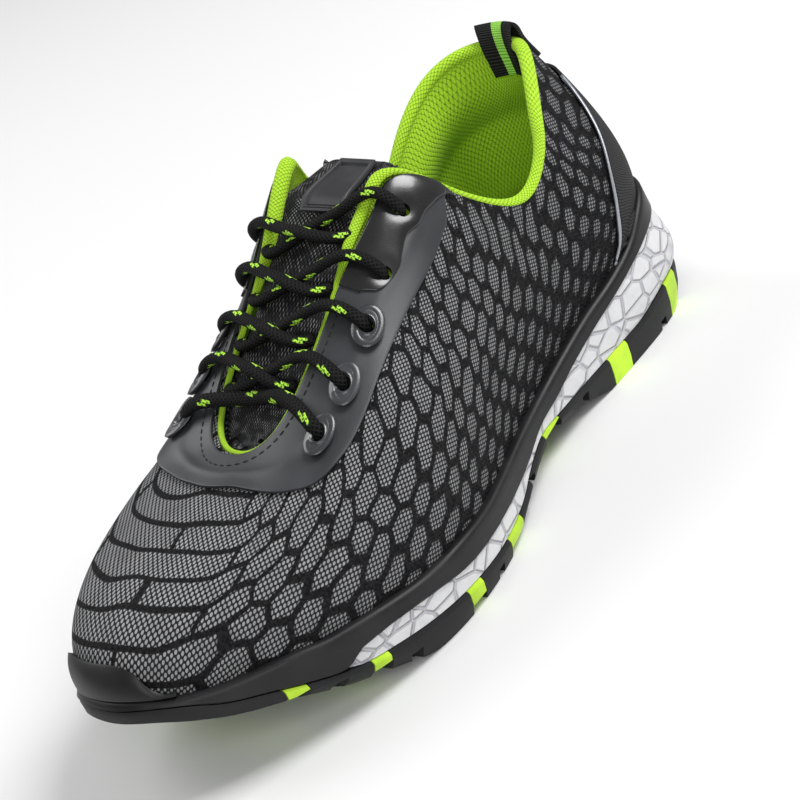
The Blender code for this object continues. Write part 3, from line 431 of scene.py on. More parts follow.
def close_band(piece):
    """Join the two open rims of a band with faces."""
    in_edit(
        piece,
        lambda: bpy.ops.mesh.select_all(action="DESELECT"),
        lambda: bpy.ops.mesh.select_non_manifold(),
        lambda: bpy.ops.mesh.bridge_edge_loops(),
    )
    soften(piece, 50)


def modify(piece, kind, **settings):
    """Add one modifier with these settings and apply it."""
    pick(piece)
    bpy.ops.object.modifier_add(type=kind)
    step = piece.modifiers[-1]
    for word, value in settings.items():
        setattr(step, word, value)
    bpy.ops.object.modifier_apply(modifier=step.name)


def read(items, word, width=1, kind=float):
    """Rows of numbers, one for each vertex, edge, corner or face."""
    values = np.empty(width * len(items), kind)
    items.foreach_get(word, values)
    return values.reshape(-1, width) if width > 1 else values


def write_uv(piece, name, values):
    """Give the piece a UV map from one pair of numbers per vertex."""
    mesh = piece.data
    layer = mesh.uv_layers.get(name) or mesh.uv_layers.new(name=name)
    corners = read(mesh.loops, "vertex_index", kind=int)
    layer.data.foreach_set("uv", np.asarray(values, float)[corners].ravel())


def lay(name, columns, rows, put, chart=None, closed=False, measure=None):
    """Grid primitive whose point at (across, up), both 0 to 1, is moved to put(across, up)."""
    bpy.ops.object.select_all(action="DESELECT")
    bpy.ops.mesh.primitive_grid_add(x_subdivisions=columns, y_subdivisions=rows, size=2)
    piece = bpy.context.object
    piece.name = name
    piece.data.name = name
    across, up = (read(piece.data.vertices, "co", 3)[:, :2].T + 1) / 2
    across, up = np.round(across * columns) / columns, np.round(up * rows) / rows
    write_uv(piece, "UVMap", np.stack(chart(across, up) if chart else (across, up), axis=-1))
    if measure:
        attribute = piece.data.attributes.new("cell", "FLOAT_VECTOR", "POINT")
        attribute.data.foreach_set("vector", np.stack(measure(across, up), axis=-1).ravel())
    piece.data.vertices.foreach_set("co", put(across, up).ravel())
    piece.data.update()
    if closed:
        merge(piece)
    bpy.ops.object.shade_smooth()
    return piece


def thicken(piece, depth, round_edge=0.0, angle=40.0):
    """Turn a sheet into a solid below its face, with rounded rims."""
    modify(piece, "SOLIDIFY", thickness=depth, offset=-1.0)
    if round_edge:
        modify(piece, "BEVEL", width=round_edge, segments=2, limit_method="ANGLE",
               angle_limit=math.radians(50.0), use_clamp_overlap=True)
    soften(piece, angle)


def dress(piece, material, slot=None, *stands_for):
    """Give the piece its finish, and let it ride on the shoe in place of its CAD nodes."""
    piece.data.materials.clear()
    piece.data.materials.append(material)
    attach(piece, "root")
    if stands_for:
        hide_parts(*stands_for)
    triangles = sum(len(face.vertices) - 2 for face in piece.data.polygons)
    print(f"{piece.name}: {triangles} triangles")
    return piece


# %% [markdown]
# ## Finishes
# Each finish is one Principled shader with a small node tree. The helper class keeps the
# node trees readable: it adds a node, links what it is given, and returns the output.

# %% A helper for node trees
class Finish:
    def __init__(self, name, colour, roughness, **sockets):
        self.material = bpy.data.materials.new(name)
        self.material.use_nodes = True
        self.tree = self.material.node_tree
        self.shader = self.tree.nodes["Principled BSDF"]
        self.set("Base Color", (*colour, 1.0))
        self.set("Roughness", roughness)
        for word, value in sockets.items():
            self.set(word.replace("_", " "), value)

    def set(self, socket, value):
        self.shader.inputs[socket].default_value = value

    def add(self, kind, **settings):
        node = self.tree.nodes.new(kind)
        for word, value in settings.items():
            setattr(node, word, value)
        return node

    def feed(self, socket, value):
        if isinstance(value, bpy.types.NodeSocket):
            self.tree.links.new(value, socket)
        else:
            socket.default_value = value

    def math(self, operation, *values):
        node = self.add("ShaderNodeMath", operation=operation)
        for socket, value in zip(node.inputs, values):
            self.feed(socket, value)
        return node.outputs[0]

    def times(self, first, second):
        return self.math("MULTIPLY", first, second)

    def plus(self, first, second):
        return self.math("ADD", first, second)

    def minus(self, first, second):
        return self.math("SUBTRACT", first, second)

    def step(self, value, low, high, start=0.0, end=1.0):
        """Soft step from start to end as value goes from low to high."""
        node = self.add("ShaderNodeMapRange", interpolation_type="SMOOTHSTEP")
        for socket, number in zip(node.inputs, (value, low, high, start, end)):
            self.feed(socket, number)
        return node.outputs[0]

    def uv(self, name="UVMap"):
        split = self.add("ShaderNodeSeparateXYZ")
        self.tree.links.new(self.add("ShaderNodeUVMap", uv_map=name).outputs[0], split.inputs[0])
        return split.outputs[0], split.outputs[1]

    def at(self):
        return self.add("ShaderNodeTexCoord").outputs["Object"]

    def noise(self, scale, detail=2.0, where=None):
        node = self.add("ShaderNodeTexNoise")
        self.feed(node.inputs["Vector"], where or self.at())
        self.feed(node.inputs["Scale"], scale)
        self.feed(node.inputs["Detail"], detail)
        return node.outputs["Fac"]

    def voronoi(self, scale, feature="F1", where=None, randomness=1.0):
        node = self.add("ShaderNodeTexVoronoi", feature=feature)
        self.feed(node.inputs["Vector"], where or self.at())
        self.feed(node.inputs["Scale"], scale)
        self.feed(node.inputs["Randomness"], randomness)
        return node.outputs["Distance"]

    def mix(self, share, first, second):
        node = self.add("ShaderNodeMix", data_type="RGBA")
        self.feed(node.inputs[0], share)
        for socket, colour in ((node.inputs[6], first), (node.inputs[7], second)):
            linked = isinstance(colour, bpy.types.NodeSocket)
            self.feed(socket, colour if linked else (*colour, 1.0))
        return node.outputs[2]

    def blend(self, share, first, second):
        """Base colour that goes from the first colour to the second with the share."""
        self.feed(self.shader.inputs["Base Color"], self.mix(share, first, second))

    def rough(self, value):
        self.feed(self.shader.inputs["Roughness"], value)

    def bump(self, height_map, distance, strength=1.0):
        """Add a bump; a second call lies on top of the first."""
        node = self.add("ShaderNodeBump")
        self.feed(node.inputs["Height"], height_map)
        self.feed(node.inputs["Distance"], distance)
        self.feed(node.inputs["Strength"], strength)
        before = self.shader.inputs["Normal"].links
        if before:
            self.tree.links.new(before[0].from_socket, node.inputs["Normal"])
        self.tree.links.new(node.outputs[0], self.shader.inputs["Normal"])

    def grains(self, u, v, across, along, wide, long):
        """Staggered rows of long grains; 1 on a grain and 0 between."""
        x = self.math("PINGPONG", u, across / 2)
        y = self.math("PINGPONG", v, along / 2)
        near = []
        for a, b in ((x, y), (self.minus(across / 2, x), self.minus(along / 2, y))):
            a = self.math("POWER", self.math("DIVIDE", a, wide), 2.0)
            b = self.math("POWER", self.math("DIVIDE", b, long), 2.0)
            near.append(self.plus(a, b))
        return self.step(self.math("MINIMUM", *near), 1.35, 0.55)


# %% [markdown]
# ## The tread
# The real tread is one moulded rubber slab with green bars let in, which show as blocks at
# its side. The form is a skin that goes from the middle of the underside out to the edge,
# up and back to the middle. Booleans with plain blocks cut the grooves and part the bars.

# %% Rubber of the tread
def rubber_finish(name, colour, roughness):
    finish = Finish(name, colour, roughness, Specular_IOR_Level=0.35)
    grain = finish.noise(2600.0, 3.0)
    cloud = finish.noise(60.0, 3.0)
    lighter = tuple(min(c * 1.5 + 0.004, 1.0) for c in colour)
    finish.blend(finish.step(cloud, 0.35, 0.75), colour, lighter)
    finish.rough(finish.step(cloud, 0.3, 0.8, roughness - 0.06, roughness + 0.10))
    finish.bump(grain, 0.00012, 0.5)
    return finish.material


black_rubber = rubber_finish("black_rubber", (0.007, 0.007, 0.008), 0.58)
green_rubber = rubber_finish("green_rubber", (0.42, 0.66, 0.030), 0.50)

# %% Form of the tread
RING = 320
TURNS = 224
LIP_ROUND = 0.0012


def undercut(turn):
    return undercut_at(along_at(turn))[..., 0] * BALL_WIDTH


def path(points, up):
    """Straight path through lists of points, one list per row, by the share up."""
    rows = np.stack(points)
    spot = np.clip(up, 0, 1) * (len(rows) - 1)
    low = np.minimum(spot.astype(int), len(rows) - 2)
    part = (spot - low)[:, None]
    column = np.arange(rows.shape[1])
    return rows[low, column] * (1 - part) + rows[low + 1, column] * part


def middle(make, turn):
    """Points half way between the two sides of the shoe, so that both sides meet there."""
    return (make(turn) + make(1 - turn)) / 2


def tread_low(turn):
    return sole_point(turn, undercut(turn), "ground")


def tread_high(turn):
    return sole_point(turn, TOE_LIP + 0.0002, "tread")


def tread_form(name):
    """Slab from the middle of the underside out to the lip and back in at the top."""
    def put(across, up):
        t = 1 - across
        shoulder = sole_point(t, 0.0, "tread")
        lip_edge = height("lip", along_of(shoulder)) - LIP_ROUND
        shoulder[:, 2] = np.minimum(shoulder[:, 2], lip_edge) - LIP_ROUND / 2
        flank = sole_point(t, 0.3 * undercut(t), "ground")
        flank[:, 2] += 0.5 * (shoulder[:, 2] - flank[:, 2])
        lip_rows = ((0.0, -LIP_ROUND), (LIP_ROUND / 2, 0.0), (TOE_LIP, 0.0))
        lip = [sole_point(t, inset, "lip", lift) for inset, lift in lip_rows]
        rows = [middle(tread_low, t), tread_low(t), flank, shoulder, *lip]
        return path(rows + [tread_high(t), middle(tread_high, t)], up)

    return lay(name, TURNS, 8, put, closed=True)


# along and width of the green bars, then the plain grooves between them
GRIP_BARS = [
    (0.890, 0.006), (0.805, 0.006), (0.663, 0.008), (0.555, 0.013),
    (0.393, 0.013), (0.228, 0.012), (0.083, 0.010),
]
GRIP_DEPTH = 0.0025
GRIP_BLOCK = 0.013
GRIP_SHOWN = 0.7
GRIP_REVEAL = 0.0032
HEEL_BLOCK = 0.30
GROOVES = (0.850, 0.765, 0.610, 0.475, 0.310, 0.125)
GROOVE_WIDTH = 0.003
GROOVE_DEPTH = 0.0025
NOTCH_LENGTH = 0.006
NOTCH_SPREAD = 1.4
NOTCH_DEPTH = 0.0012


def block(low, high):
    """Box between two corners, used as a cutter."""
    bpy.ops.object.select_all(action="DESELECT")
    centre = [(a + b) / 2 for a, b in zip(low, high)]
    size = [abs(b - a) for a, b in zip(low, high)]
    bpy.ops.mesh.primitive_cube_add(size=1.0, location=centre, scale=size)
    cutter = bpy.context.object
    bpy.ops.object.transform_apply(location=True, rotation=True, scale=True)
    return cutter


def cross_block(along, half, start, end, roof):
    """Block at a place along the shoe, from start to end across it and up to the roof."""
    y = HEEL_REST - along * LENGTH
    return block((start, y - half, -SOLE_HEIGHT), (end, y + half, roof))


def cut(piece, cutter, operation="DIFFERENCE"):
    modify(piece, "BOOLEAN", object=cutter, operation=operation, solver="EXACT")
    bpy.data.objects.remove(cutter)


def grip_end(along, side, depth):
    """How far out a cut starts that reaches this deep into the side of the tread."""
    return float(on_outline(sided(turn_of(along), side))[0]) - side * depth


def grip_cutter(along, width, grow):
    """Strip across the tread with a block at each end, grown by a clearance."""
    half = width / 2 + grow
    reach = width / 2 / LENGTH
    near = np.array([along - reach, along, along + reach])
    top = float(height("ground", near).min()) + GRIP_DEPTH + grow
    strip = cross_block(along, half, -BALL_WIDTH, BALL_WIDTH, top)
    for side in (1, -1):
        inner = grip_end(along, side, GRIP_BLOCK + grow)
        cut(strip, cross_block(along, half, inner, side * BALL_WIDTH, 2 * SOLE_HEIGHT), "UNION")
    return strip


# %% The tread and its green bars
outsole = tread_form("tread")
for number, (along, width) in enumerate(GRIP_BARS, start=1):
    bar = tread_form(f"green_bar_{number}")
    cut(bar, grip_cutter(along, width, 0.0), "INTERSECT")
    if along > HEEL_BLOCK:
        # at the side the green stands back from the ground, between the black lugs
        roof = float(height("ground", along)) + GRIP_REVEAL
        for side in (1, -1):
            inner = grip_end(along, side, GRIP_SHOWN * GRIP_BLOCK)
            cut(bar, cross_block(along, width, inner, side * BALL_WIDTH, roof))
    soften(bar, 35)
    dress(bar, green_rubber, "green_rubber", f"grip_bar_{number}")
    cut(outsole, grip_cutter(along, width, GAP))
for along in GROOVES:
    half = GROOVE_WIDTH / 2
    roof = float(height("ground", along)) + GROOVE_DEPTH
    cut(outsole, cross_block(along, half, -BALL_WIDTH, BALL_WIDTH, roof))
    for side in (1, -1):
        # the groove opens into a deeper notch at the side of the tread
        inner, outer = grip_end(along, side, NOTCH_LENGTH), side * BALL_WIDTH
        cut(outsole, cross_block(along, NOTCH_SPREAD * half, inner, outer, roof + NOTCH_DEPTH))
soften(outsole, 35)
dress(outsole, black_rubber, "black_rubber", "outsole")

# %% [markdown]
# ## The white foam
# The midsole is foam of swollen beads, and its skin shows the beads as flat cells with
# fine furrows between them. It bulges round the heel. It is built as a closed band,
# because its middle is hidden between the tread and the carrier.

# %% Bead foam
BEAD = 0.0085


def bead_finish():
    finish = Finish("white_foam", (0.66, 0.66, 0.67), 0.50, Subsurface_Weight=0.05)
    finish.set("Subsurface Radius", (0.004, 0.004, 0.004))
    spread_out = finish.add("ShaderNodeMapping")
    finish.feed(spread_out.inputs["Vector"], finish.at())
    finish.feed(spread_out.inputs["Scale"], (1.0, 0.75, 1.25))
    edge = finish.voronoi(1 / BEAD, "DISTANCE_TO_EDGE", spread_out.outputs[0], 0.85)
    furrow = finish.step(edge, 0.0, 0.10)
    cloud = finish.noise(220.0, 3.0)
    swell = finish.mix(cloud, (0.58, 0.58, 0.60), (0.72, 0.72, 0.73))
    # the furrows are painted a darker grey than the beads: painted shade in the furrows, on top of
    # their real bump
    finish.blend(furrow, (0.53, 0.53, 0.57), swell)
    finish.bump(furrow, 0.0011, 1.0)
    finish.bump(cloud, 0.0004, 0.35)
    return finish.material


white_foam = bead_finish()
FOAM_BULGE = 0.0042
BULGE_SPAN = 0.16
FOAM_FACE = 0.75
FOAM_LEDGE = 0.005


def foam_edge(turn):
    ramp = np.clip((along_at(turn) - FOAM_TIP) / FOAM_TIP_RUN, 0.0, 1.0)
    return between(FOAM_INSET, TOE_LIP + 4 * GAP, ramp)


def foam_skin(turn, share):
    """Outer face of the foam, share 0 at the tread and 1 at its top edge."""
    near_heel = np.maximum(1 - (np.minimum(turn, 1 - turn) / BULGE_SPAN) ** 2, 0.0)
    swell = FOAM_BULGE * near_heel * np.sin(np.pi * share**0.7)
    points = sole_point(turn, foam_edge(turn) - swell, "tread", GAP)
    top = height("foam", along_at(turn))
    points[:, 2] += share * (top - points[:, 2])
    return points


def put_foam(across, up):
    """Up the outer face, then in over the top and down behind it."""
    t = 1 - across
    points = foam_skin(t, np.clip(up / FOAM_FACE, 0.0, 1.0))
    back = 2 * np.clip((up - FOAM_FACE) / (1 - FOAM_FACE), 0.0, 1.0)
    inner = sole_point(t, foam_edge(t) + FOAM_LEDGE, "foam", -0.0001)
    low = sole_point(t, foam_edge(t) + FOAM_LEDGE, "tread", GAP)
    top = np.minimum(back, 1.0)[:, None]
    down = np.maximum(back - 1, 0.0)[:, None]
    tray = inner * (1 - down) + low * down
    return np.where((up > FOAM_FACE)[:, None], points * (1 - top) + tray * top, points)


midsole = lay("bead_foam", RING, 24, put_foam, closed=True)
close_band(midsole)
dress(midsole, white_foam, "white_foam", "midsole")

# %% [markdown]
# ## The black carrier and the footbed
# A black moulded carrier stands round the foot of the upper and hides its lasted edge. The
# insole is a loose black footbed with a fine cloth top.

# %% Carrier and footbed
carrier_finish = rubber_finish("black_carrier", (0.007, 0.007, 0.008), 0.46)


def put_carrier(across, up):
    """In the order of the rows: under the foam's edge, up the side, over the rim, down inside."""
    t = 1 - across
    side = sole_point(t, 0.0, "foam", GAP + 0.0006)
    rim = sole_point(t, 0.0005, "rim", -0.0016)
    rows = [sole_point(t, inset, "foam", GAP) for inset in (CUP_WALL + 0.003, FOAM_INSET)]
    rows += [side, (2 * side + rim) / 3, (side + 2 * rim) / 3, rim]
    over = ((0.0012, -0.0005), (0.0022, 0.0), (RIM_WALL, -0.0002))
    rows += [sole_point(t, inset, "rim", lift) for inset, lift in over]
    return path(rows + [sole_point(t, RIM_WALL, "bed")], up)


carrier = lay("carrier", RING, 9, put_carrier, closed=True)
close_band(carrier)
dress(carrier, carrier_finish, "black_carrier", "sole_rim")


def bed_finish():
    finish = Finish("footbed", (0.014, 0.014, 0.015), 0.9, Sheen_Weight=0.2)
    weave = finish.voronoi(900.0)
    thread = finish.step(weave, 0.2, 0.6)
    finish.blend(thread, (0.030, 0.030, 0.032), (0.008, 0.008, 0.009))
    finish.bump(weave, 0.0004, 0.6)
    return finish.material


def bed_edge(turn):
    return RIM_WALL + ribs_at(turn)[:, 4] * UPPER_WALL + 3 * GAP


def put_bed(across, up):
    t = 1 - across

    def ring(inset, lift):
        return lambda turn: sole_point(turn, bed_edge(turn) + inset, "bed", lift)

    top = INSOLE_THICK
    rows = [middle(ring(0.0, GAP), t), ring(0.0, GAP)(t), ring(0.0, top + 0.001)(t)]
    rows += [ring(0.0015, top + 0.001)(t), ring(0.006, top)(t), middle(ring(0.006, top), t)]
    return path(rows, up)


footbed = lay("footbed", RING // 2, 5, put_bed, closed=True)
dress(footbed, bed_finish(), "footbed", "insole")

# %% [markdown]
# ## The knit
# The upper is cut from one piece of black knit in the shape of a horseshoe. Light grains
# of yarn stand on it in staggered rows, and black bands without grains draw a net of
# cells: long bars across the toe, six-sided cells along the sides, small ones at the heel.
# Two charts carry this. The first is the flat cloth, found by unwrapping the piece as its
# cutter would, and it holds the grains. The second counts rows and cells of the net, from
# a few listed widths round the shoe.

# %% Lay the knit on the last
KNIT_LOW = -0.6
KNIT_TOP = 0.985
KNIT_COLUMNS = 420
KNIT_ROWS = 72
KNIT_THICK = 0.0010
LEAN = 0.26
LEAN_REACH = 8.0
# turn, then the width of a cell, the height of a row and how steeply rows fall, in mm
NET = [
    (0.000, 7.5, 6.8, 0.00), (0.100, 8.2, 6.8, 0.10), (0.200, 10.5, 8.6, 0.30),
    (0.280, 11.5, 11.0, 0.30), (0.340, 12.5, 12.0, 0.30), (0.370, 13.5, 11.8, 0.30),
    (0.405, 16.5, 11.0, 0.28), (0.430, 22.0, 11.0, 0.10), (0.455, 60.0, 11.6, 0.00),
    (0.500, 70.0, 12.2, 0.00), (0.560, 60.0, 11.6, 0.00), (0.600, 32.0, 11.0, -0.10),
    (0.650, 14.0, 11.0, -0.28), (0.750, 10.5, 10.0, -0.30), (0.850, 8.5, 7.8, -0.20),
    (1.000, 7.5, 7.2, 0.00),
]
net_at = steady(NET)
turns = np.linspace(0, 1, 2001)
round_steps = np.linalg.norm(np.diff(skin(turns, 0.0), axis=0), axis=1)
round_way = run_up(round_steps)
half_way = (turns[1:] + turns[:-1]) / 2
cell_count = run_up(round_steps / (net_at(half_way)[:, 0] * MM))
cell_count -= np.interp(0.5, turns, cell_count)
fall = run_up(round_steps * net_at(half_way)[:, 2])
fall -= np.interp(0.5, turns, fall)


def rib_length(turn, share, columns=280, steps=40):
    """Distance up the rib from the rim to that share, in metres, from a table of ribs."""
    grid_turns, fine = np.linspace(0, 1, columns + 1), np.linspace(0, 1, steps + 1)
    ribs = skin(grid_turns[:, None], fine[None, :])
    lengths = np.linalg.norm(np.diff(ribs, axis=1), axis=2)
    table = np.concatenate([np.zeros((columns + 1, 1)), np.cumsum(lengths, axis=1)], axis=1)
    i = np.clip(np.mod(turn, 1.0) * columns, 0, columns - 0.001)
    j = np.clip(share, 0, 1) * steps
    i0, j0 = i.astype(int), np.minimum(j.astype(int), steps - 1)
    a, b = i - i0, j - j0
    low = table[i0, j0] * (1 - b) + table[i0, j0 + 1] * b
    high = table[i0 + 1, j0] * (1 - b) + table[i0 + 1, j0 + 1] * b
    return low * (1 - a) + high * a


def put_knit(across, up):
    return on_skin(1 - across, between(KNIT_LOW, KNIT_TOP, up), 0.0)


def row_growth(t):
    """How much taller rows are at the top of the side than at the rim; even on the toe."""
    return 0.02 + 0.70 * np.clip((np.abs(t - 0.5) - 0.09) / 0.06, 0, 1)


def knit_place(across, up):
    """Turn, distance up from the rim, the whole rib's length and cells from the toe."""
    t = 1 - across
    way = rib_length(t, between(KNIT_LOW, KNIT_TOP, up))
    return t, way, rib_length(t, 1 + 0 * t), np.interp(t, turns, cell_count)


def net_chart(across, up):
    """Cells round the shoe and rows up it, as counts."""
    t, way, whole, count = knit_place(across, up)
    growth = row_growth(t)
    start = 1 - growth / 2
    grown = whole / growth * np.log(1 + growth * way / whole / start)
    rows = (grown + np.interp(t, turns, fall)) / (net_at(t)[:, 1] * MM)
    # cells are wider up the side, so the columns lean back as they rise
    return 40 + count - LEAN * np.clip(count, -LEAN_REACH, LEAN_REACH) * way / whole, rows


def net_measure(across, up):
    """Cell width by row height, row height in metres and the painted light and shade on the
    grains.
    """
    t, way, whole, count = knit_place(across, up)
    wide, tall, _ = net_at(t).T
    wide = wide / (1 - LEAN * (np.abs(count) < LEAN_REACH) * way / whole)
    tall = tall * (1 - row_growth(t) / 2 + row_growth(t) * way / whole)
    # painted light and shade: the grains are painted brightest on the toe and dimmer towards the
    # heel, and painted shade darkens them just above the rim
    spots = put_knit(across, up)
    light = np.clip(0.55 + 0.55 * (along_of(spots) - 0.25), 0.45, 0.95)
    light *= np.clip(0.70 + 9.0 * (spots[:, 2] - 0.030), 0.70, 1.0)
    return wide / tall, tall * MM, light


knit = lay("knit_upper", KNIT_COLUMNS, KNIT_ROWS, put_knit, net_chart, measure=net_measure)
knit.data.uv_layers[0].name = "net"


def flatten_cloth(piece):
    """Unwrap the knit as one flat horseshoe and scale it to metres."""
    piece.data.uv_layers.new(name="cloth")
    piece.data.uv_layers.active = piece.data.uv_layers["cloth"]
    in_edit(piece, lambda: bpy.ops.uv.unwrap(method="ANGLE_BASED", margin=0.0))
    mesh = piece.data
    spots = read(mesh.vertices, "co", 3)
    flat = np.zeros((len(spots), 2))
    corners = read(mesh.loops, "vertex_index", kind=int)
    flat[corners] = read(mesh.uv_layers["cloth"].data, "uv", 2)
    a, b = read(mesh.edges, "vertices", 2, int).T
    true = np.linalg.norm(spots[a] - spots[b], axis=1)
    drawn = np.linalg.norm(flat[a] - flat[b], axis=1)
    # the toe is the least stretched part, so its edges give the scale
    toe = along_of(spots) > 0.72
    scale = np.median((true / (drawn + 1e-12))[toe[a]])
    # the middle of the toe is turned to point down the chart
    front = np.argmin(spots[:, 1] + (spots[:, 2] >= SOLE_HEIGHT + 0.018))
    back = np.argmin(np.linalg.norm(spots - skin(0.5, 0.9), axis=1))
    lean = flat[back] - flat[front]
    angle = math.atan2(lean[0], lean[1])
    turned = np.array([[math.cos(angle), -math.sin(angle)], [math.sin(angle), math.cos(angle)]])
    flat = (flat - flat[front]) @ turned.T * scale
    write_uv(piece, "cloth", flat)
    return flat


cloth = flatten_cloth(knit)
print("flat cloth in mm:", np.round((cloth.max(axis=0) - cloth.min(axis=0)) / MM))

# %% Finish of the knit
GRAIN_ACROSS = 0.0020
GRAIN_ALONG = 0.0023
BAND = 0.0011


def knit_finish():
    finish = Finish("knit", (0.012, 0.012, 0.013), 0.80, Specular_IOR_Level=0.15)
    times, minus = finish.times, finish.minus
    u, v = finish.uv("cloth")
    x, y = finish.uv("net")
    size = finish.add("ShaderNodeAttribute", attribute_name="cell").outputs["Vector"]
    split = finish.add("ShaderNodeSeparateXYZ")
    finish.feed(split.inputs[0], size)
    # the third value is the painted light and shade on the grains, brightest on the toe and
    # darkest just above the rim
    ratio, row_height, light = split.outputs
    # the bands wander a little, and their teeth make the cells six-sided
    sway = finish.math("DIVIDE", 1.3, ratio)
    x = finish.plus(x, times(minus(finish.noise(55.0, 1.0), 0.5), sway))
    y = finish.plus(y, times(minus(finish.noise(38.0, 1.0), 0.5), 0.6))
    tooth_height = finish.math("MINIMUM", 0.17, finish.math("DIVIDE", 0.25, ratio))
    p = finish.math("PINGPONG", x, 0.5)
    q = finish.math("PINGPONG", y, 1.0)
    rows = []
    for here, up in ((p, q), (minus(0.5, p), minus(1.0, q))):
        tooth = times(tooth_height, finish.math("MULTIPLY_ADD", here, -4.0, 1.0))
        over = minus(finish.plus(0.5, tooth), up)
        rows.append(finish.math("MINIMUM", over, times(ratio, minus(0.5, here))))
    inside = times(finish.math("MAXIMUM", *rows), row_height)
    # where the painted light is dim the bands are drawn wider, so fewer grains show
    band = times(BAND, finish.math("MULTIPLY_ADD", light, -1.5, 2.3))
    cell = finish.step(finish.math("DIVIDE", inside, band), 0.75, 1.25)
    grain = finish.grains(u, v, GRAIN_ACROSS, GRAIN_ALONG, 0.00044, 0.00074)
    patchy = finish.step(finish.noise(140.0, 2.0), 0.2, 0.75, 0.75, 1.0)
    # the grains are dimmed by the painted light and shade, and at random by the patches
    shown = times(times(grain, cell), times(light, patchy))
    mesh_dark = finish.step(finish.noise(900.0, 1.0), 0.3, 0.7)
    ground = finish.mix(mesh_dark, (0.003, 0.003, 0.004), (0.014, 0.014, 0.015))
    ground = finish.mix(times(cell, 0.7), ground, (0.020, 0.021, 0.022))
    finish.blend(shown, ground, (0.42, 0.42, 0.43))
    finish.bump(cell, 0.0006, 0.7)
    finish.bump(grain, 0.0004, 0.7)
    return finish.material


# %% [markdown]
# The eyelets are punched through the knit and the film, so the faces at their centres are
# deleted before the sheets get their thickness.

# %% Eyelets
EYELETS = [
    # turn and share on the outer side, then on the inner side, from the toe up
    (0.347, 0.775, 0.647, 0.820), (0.315, 0.790, 0.683, 0.830), (0.285, 0.807, 0.710, 0.845),
    (0.2575, 0.833, 0.738, 0.860), (0.2235, 0.878, 0.761, 0.890),
]
EYELET_HOLE = 0.0026
PUNCH_KNIT = 0.0036
PUNCH_FILM = 0.0034
PAD_COUNT = 3
FILM_LIFT = 0.0016
PATCH_LIFT = 0.0029
# the words for the two sides in the names of new pieces and of the CAD nodes
SIDE_WORDS = {1: ("outer", "lateral"), -1: ("inner", "medial")}


def eyelet(number, side):
    row = EYELETS[number]
    return row[:2] if side > 0 else row[2:]


eyelets = [(number, side) for number in range(len(EYELETS)) for side in (1, -1)]
eyelet_spots = [skin(*eyelet(number, side)) for number, side in eyelets]


def punch(piece, radius):
    """Delete the faces whose middle lies within the radius of an eyelet."""
    in_edit(piece, lambda: bpy.ops.mesh.select_all(action="DESELECT"))
    centres = read(piece.data.polygons, "center", 3)
    away = np.min([np.linalg.norm(centres - spot, axis=1) for spot in eyelet_spots], axis=0)
    piece.data.polygons.foreach_set("select", away < radius)
    bpy.ops.object.mode_set(mode="EDIT")
    bpy.ops.mesh.delete(type="FACE")
    bpy.ops.object.mode_set(mode="OBJECT")


punch(knit, PUNCH_KNIT)
merge(knit)
thicken(knit, KNIT_THICK)
dress(knit, knit_finish(), "knit", "upper")

# %% [markdown]
# ## The lime lining
# A padded spacer mesh lines the shoe and rolls over the collar and the throat as a soft
# lime edge. Its section goes from under the knit's edge over a round roll and down the
# inside to the footbed. The roll is thick at the collar and the top eyelets and fades out
# down the throat.

# %% Lining of the collar and the foot
ROLL = [
    # turn, radius of the roll in mm, rise of its middle above the edge in mm
    (0.000, 2.7, 0.6), (0.080, 2.7, 0.8), (0.150, 2.2, 0.6), (0.185, 2.4, 0.9),
    (0.212, 2.6, 1.6), (0.245, 2.4, 1.4), (0.262, 1.5, 0.4), (0.285, 1.1, -0.8),
    (0.500, 1.1, -0.9), (0.715, 1.1, -0.8), (0.740, 2.0, 0.8), (0.765, 2.8, 1.8),
    (0.790, 3.0, 1.8), (0.820, 2.6, 1.0), (0.860, 2.4, 0.6), (0.920, 2.7, 0.8), (1.000, 2.7, 0.6),
]
roll_at = steady(ROLL)
ROLL_PART = 0.30
ROLL_START = -50.0
ROLL_END = 200.0
LINING_THICK = 0.0006
LINING_TOP = 0.965
LINING_FOOT = -0.735
LINING_JOIN = 0.10


def put_lining(across, up):
    t = 1 - across
    radius, rise = roll_at(t).T * MM
    edge, out = skin(t, 1.0), skin_normal(t, 1.0)
    ahead = unit(edge - skin(t, 0.97))
    middle_in = np.minimum(thickness(t, 1.0) / 2, radius)
    centre = edge + ahead * rise[:, None] - out * middle_in[:, None]

    def on_roll(degrees):
        swing = np.radians(degrees)[:, None]
        return centre + (out * np.cos(swing) + ahead * np.sin(swing)) * radius[:, None]

    roll = on_roll(between(ROLL_START, ROLL_END, np.clip(up / ROLL_PART, 0, 1)))
    down = np.clip((up - ROLL_PART) / (1 - ROLL_PART), 0, 1)
    share = between(LINING_TOP, LINING_FOOT, down)
    blend = np.clip(down / LINING_JOIN, 0, 1)[:, None]
    blend = blend * blend * (3 - 2 * blend)
    wall = on_skin(t, share, -thickness(t, share))
    inner = on_roll(ROLL_END + 0 * t) * (1 - blend) + wall * blend
    return np.where((up <= ROLL_PART)[:, None], roll, inner)


def lining_chart(across, up):
    """Way round the shoe and way over the roll and down the inside, both in metres."""
    down = 0.05 * np.minimum(up, ROLL_PART) + 0.11 * np.maximum(up - ROLL_PART, 0.0)
    return np.interp(1 - across, turns, round_way), down


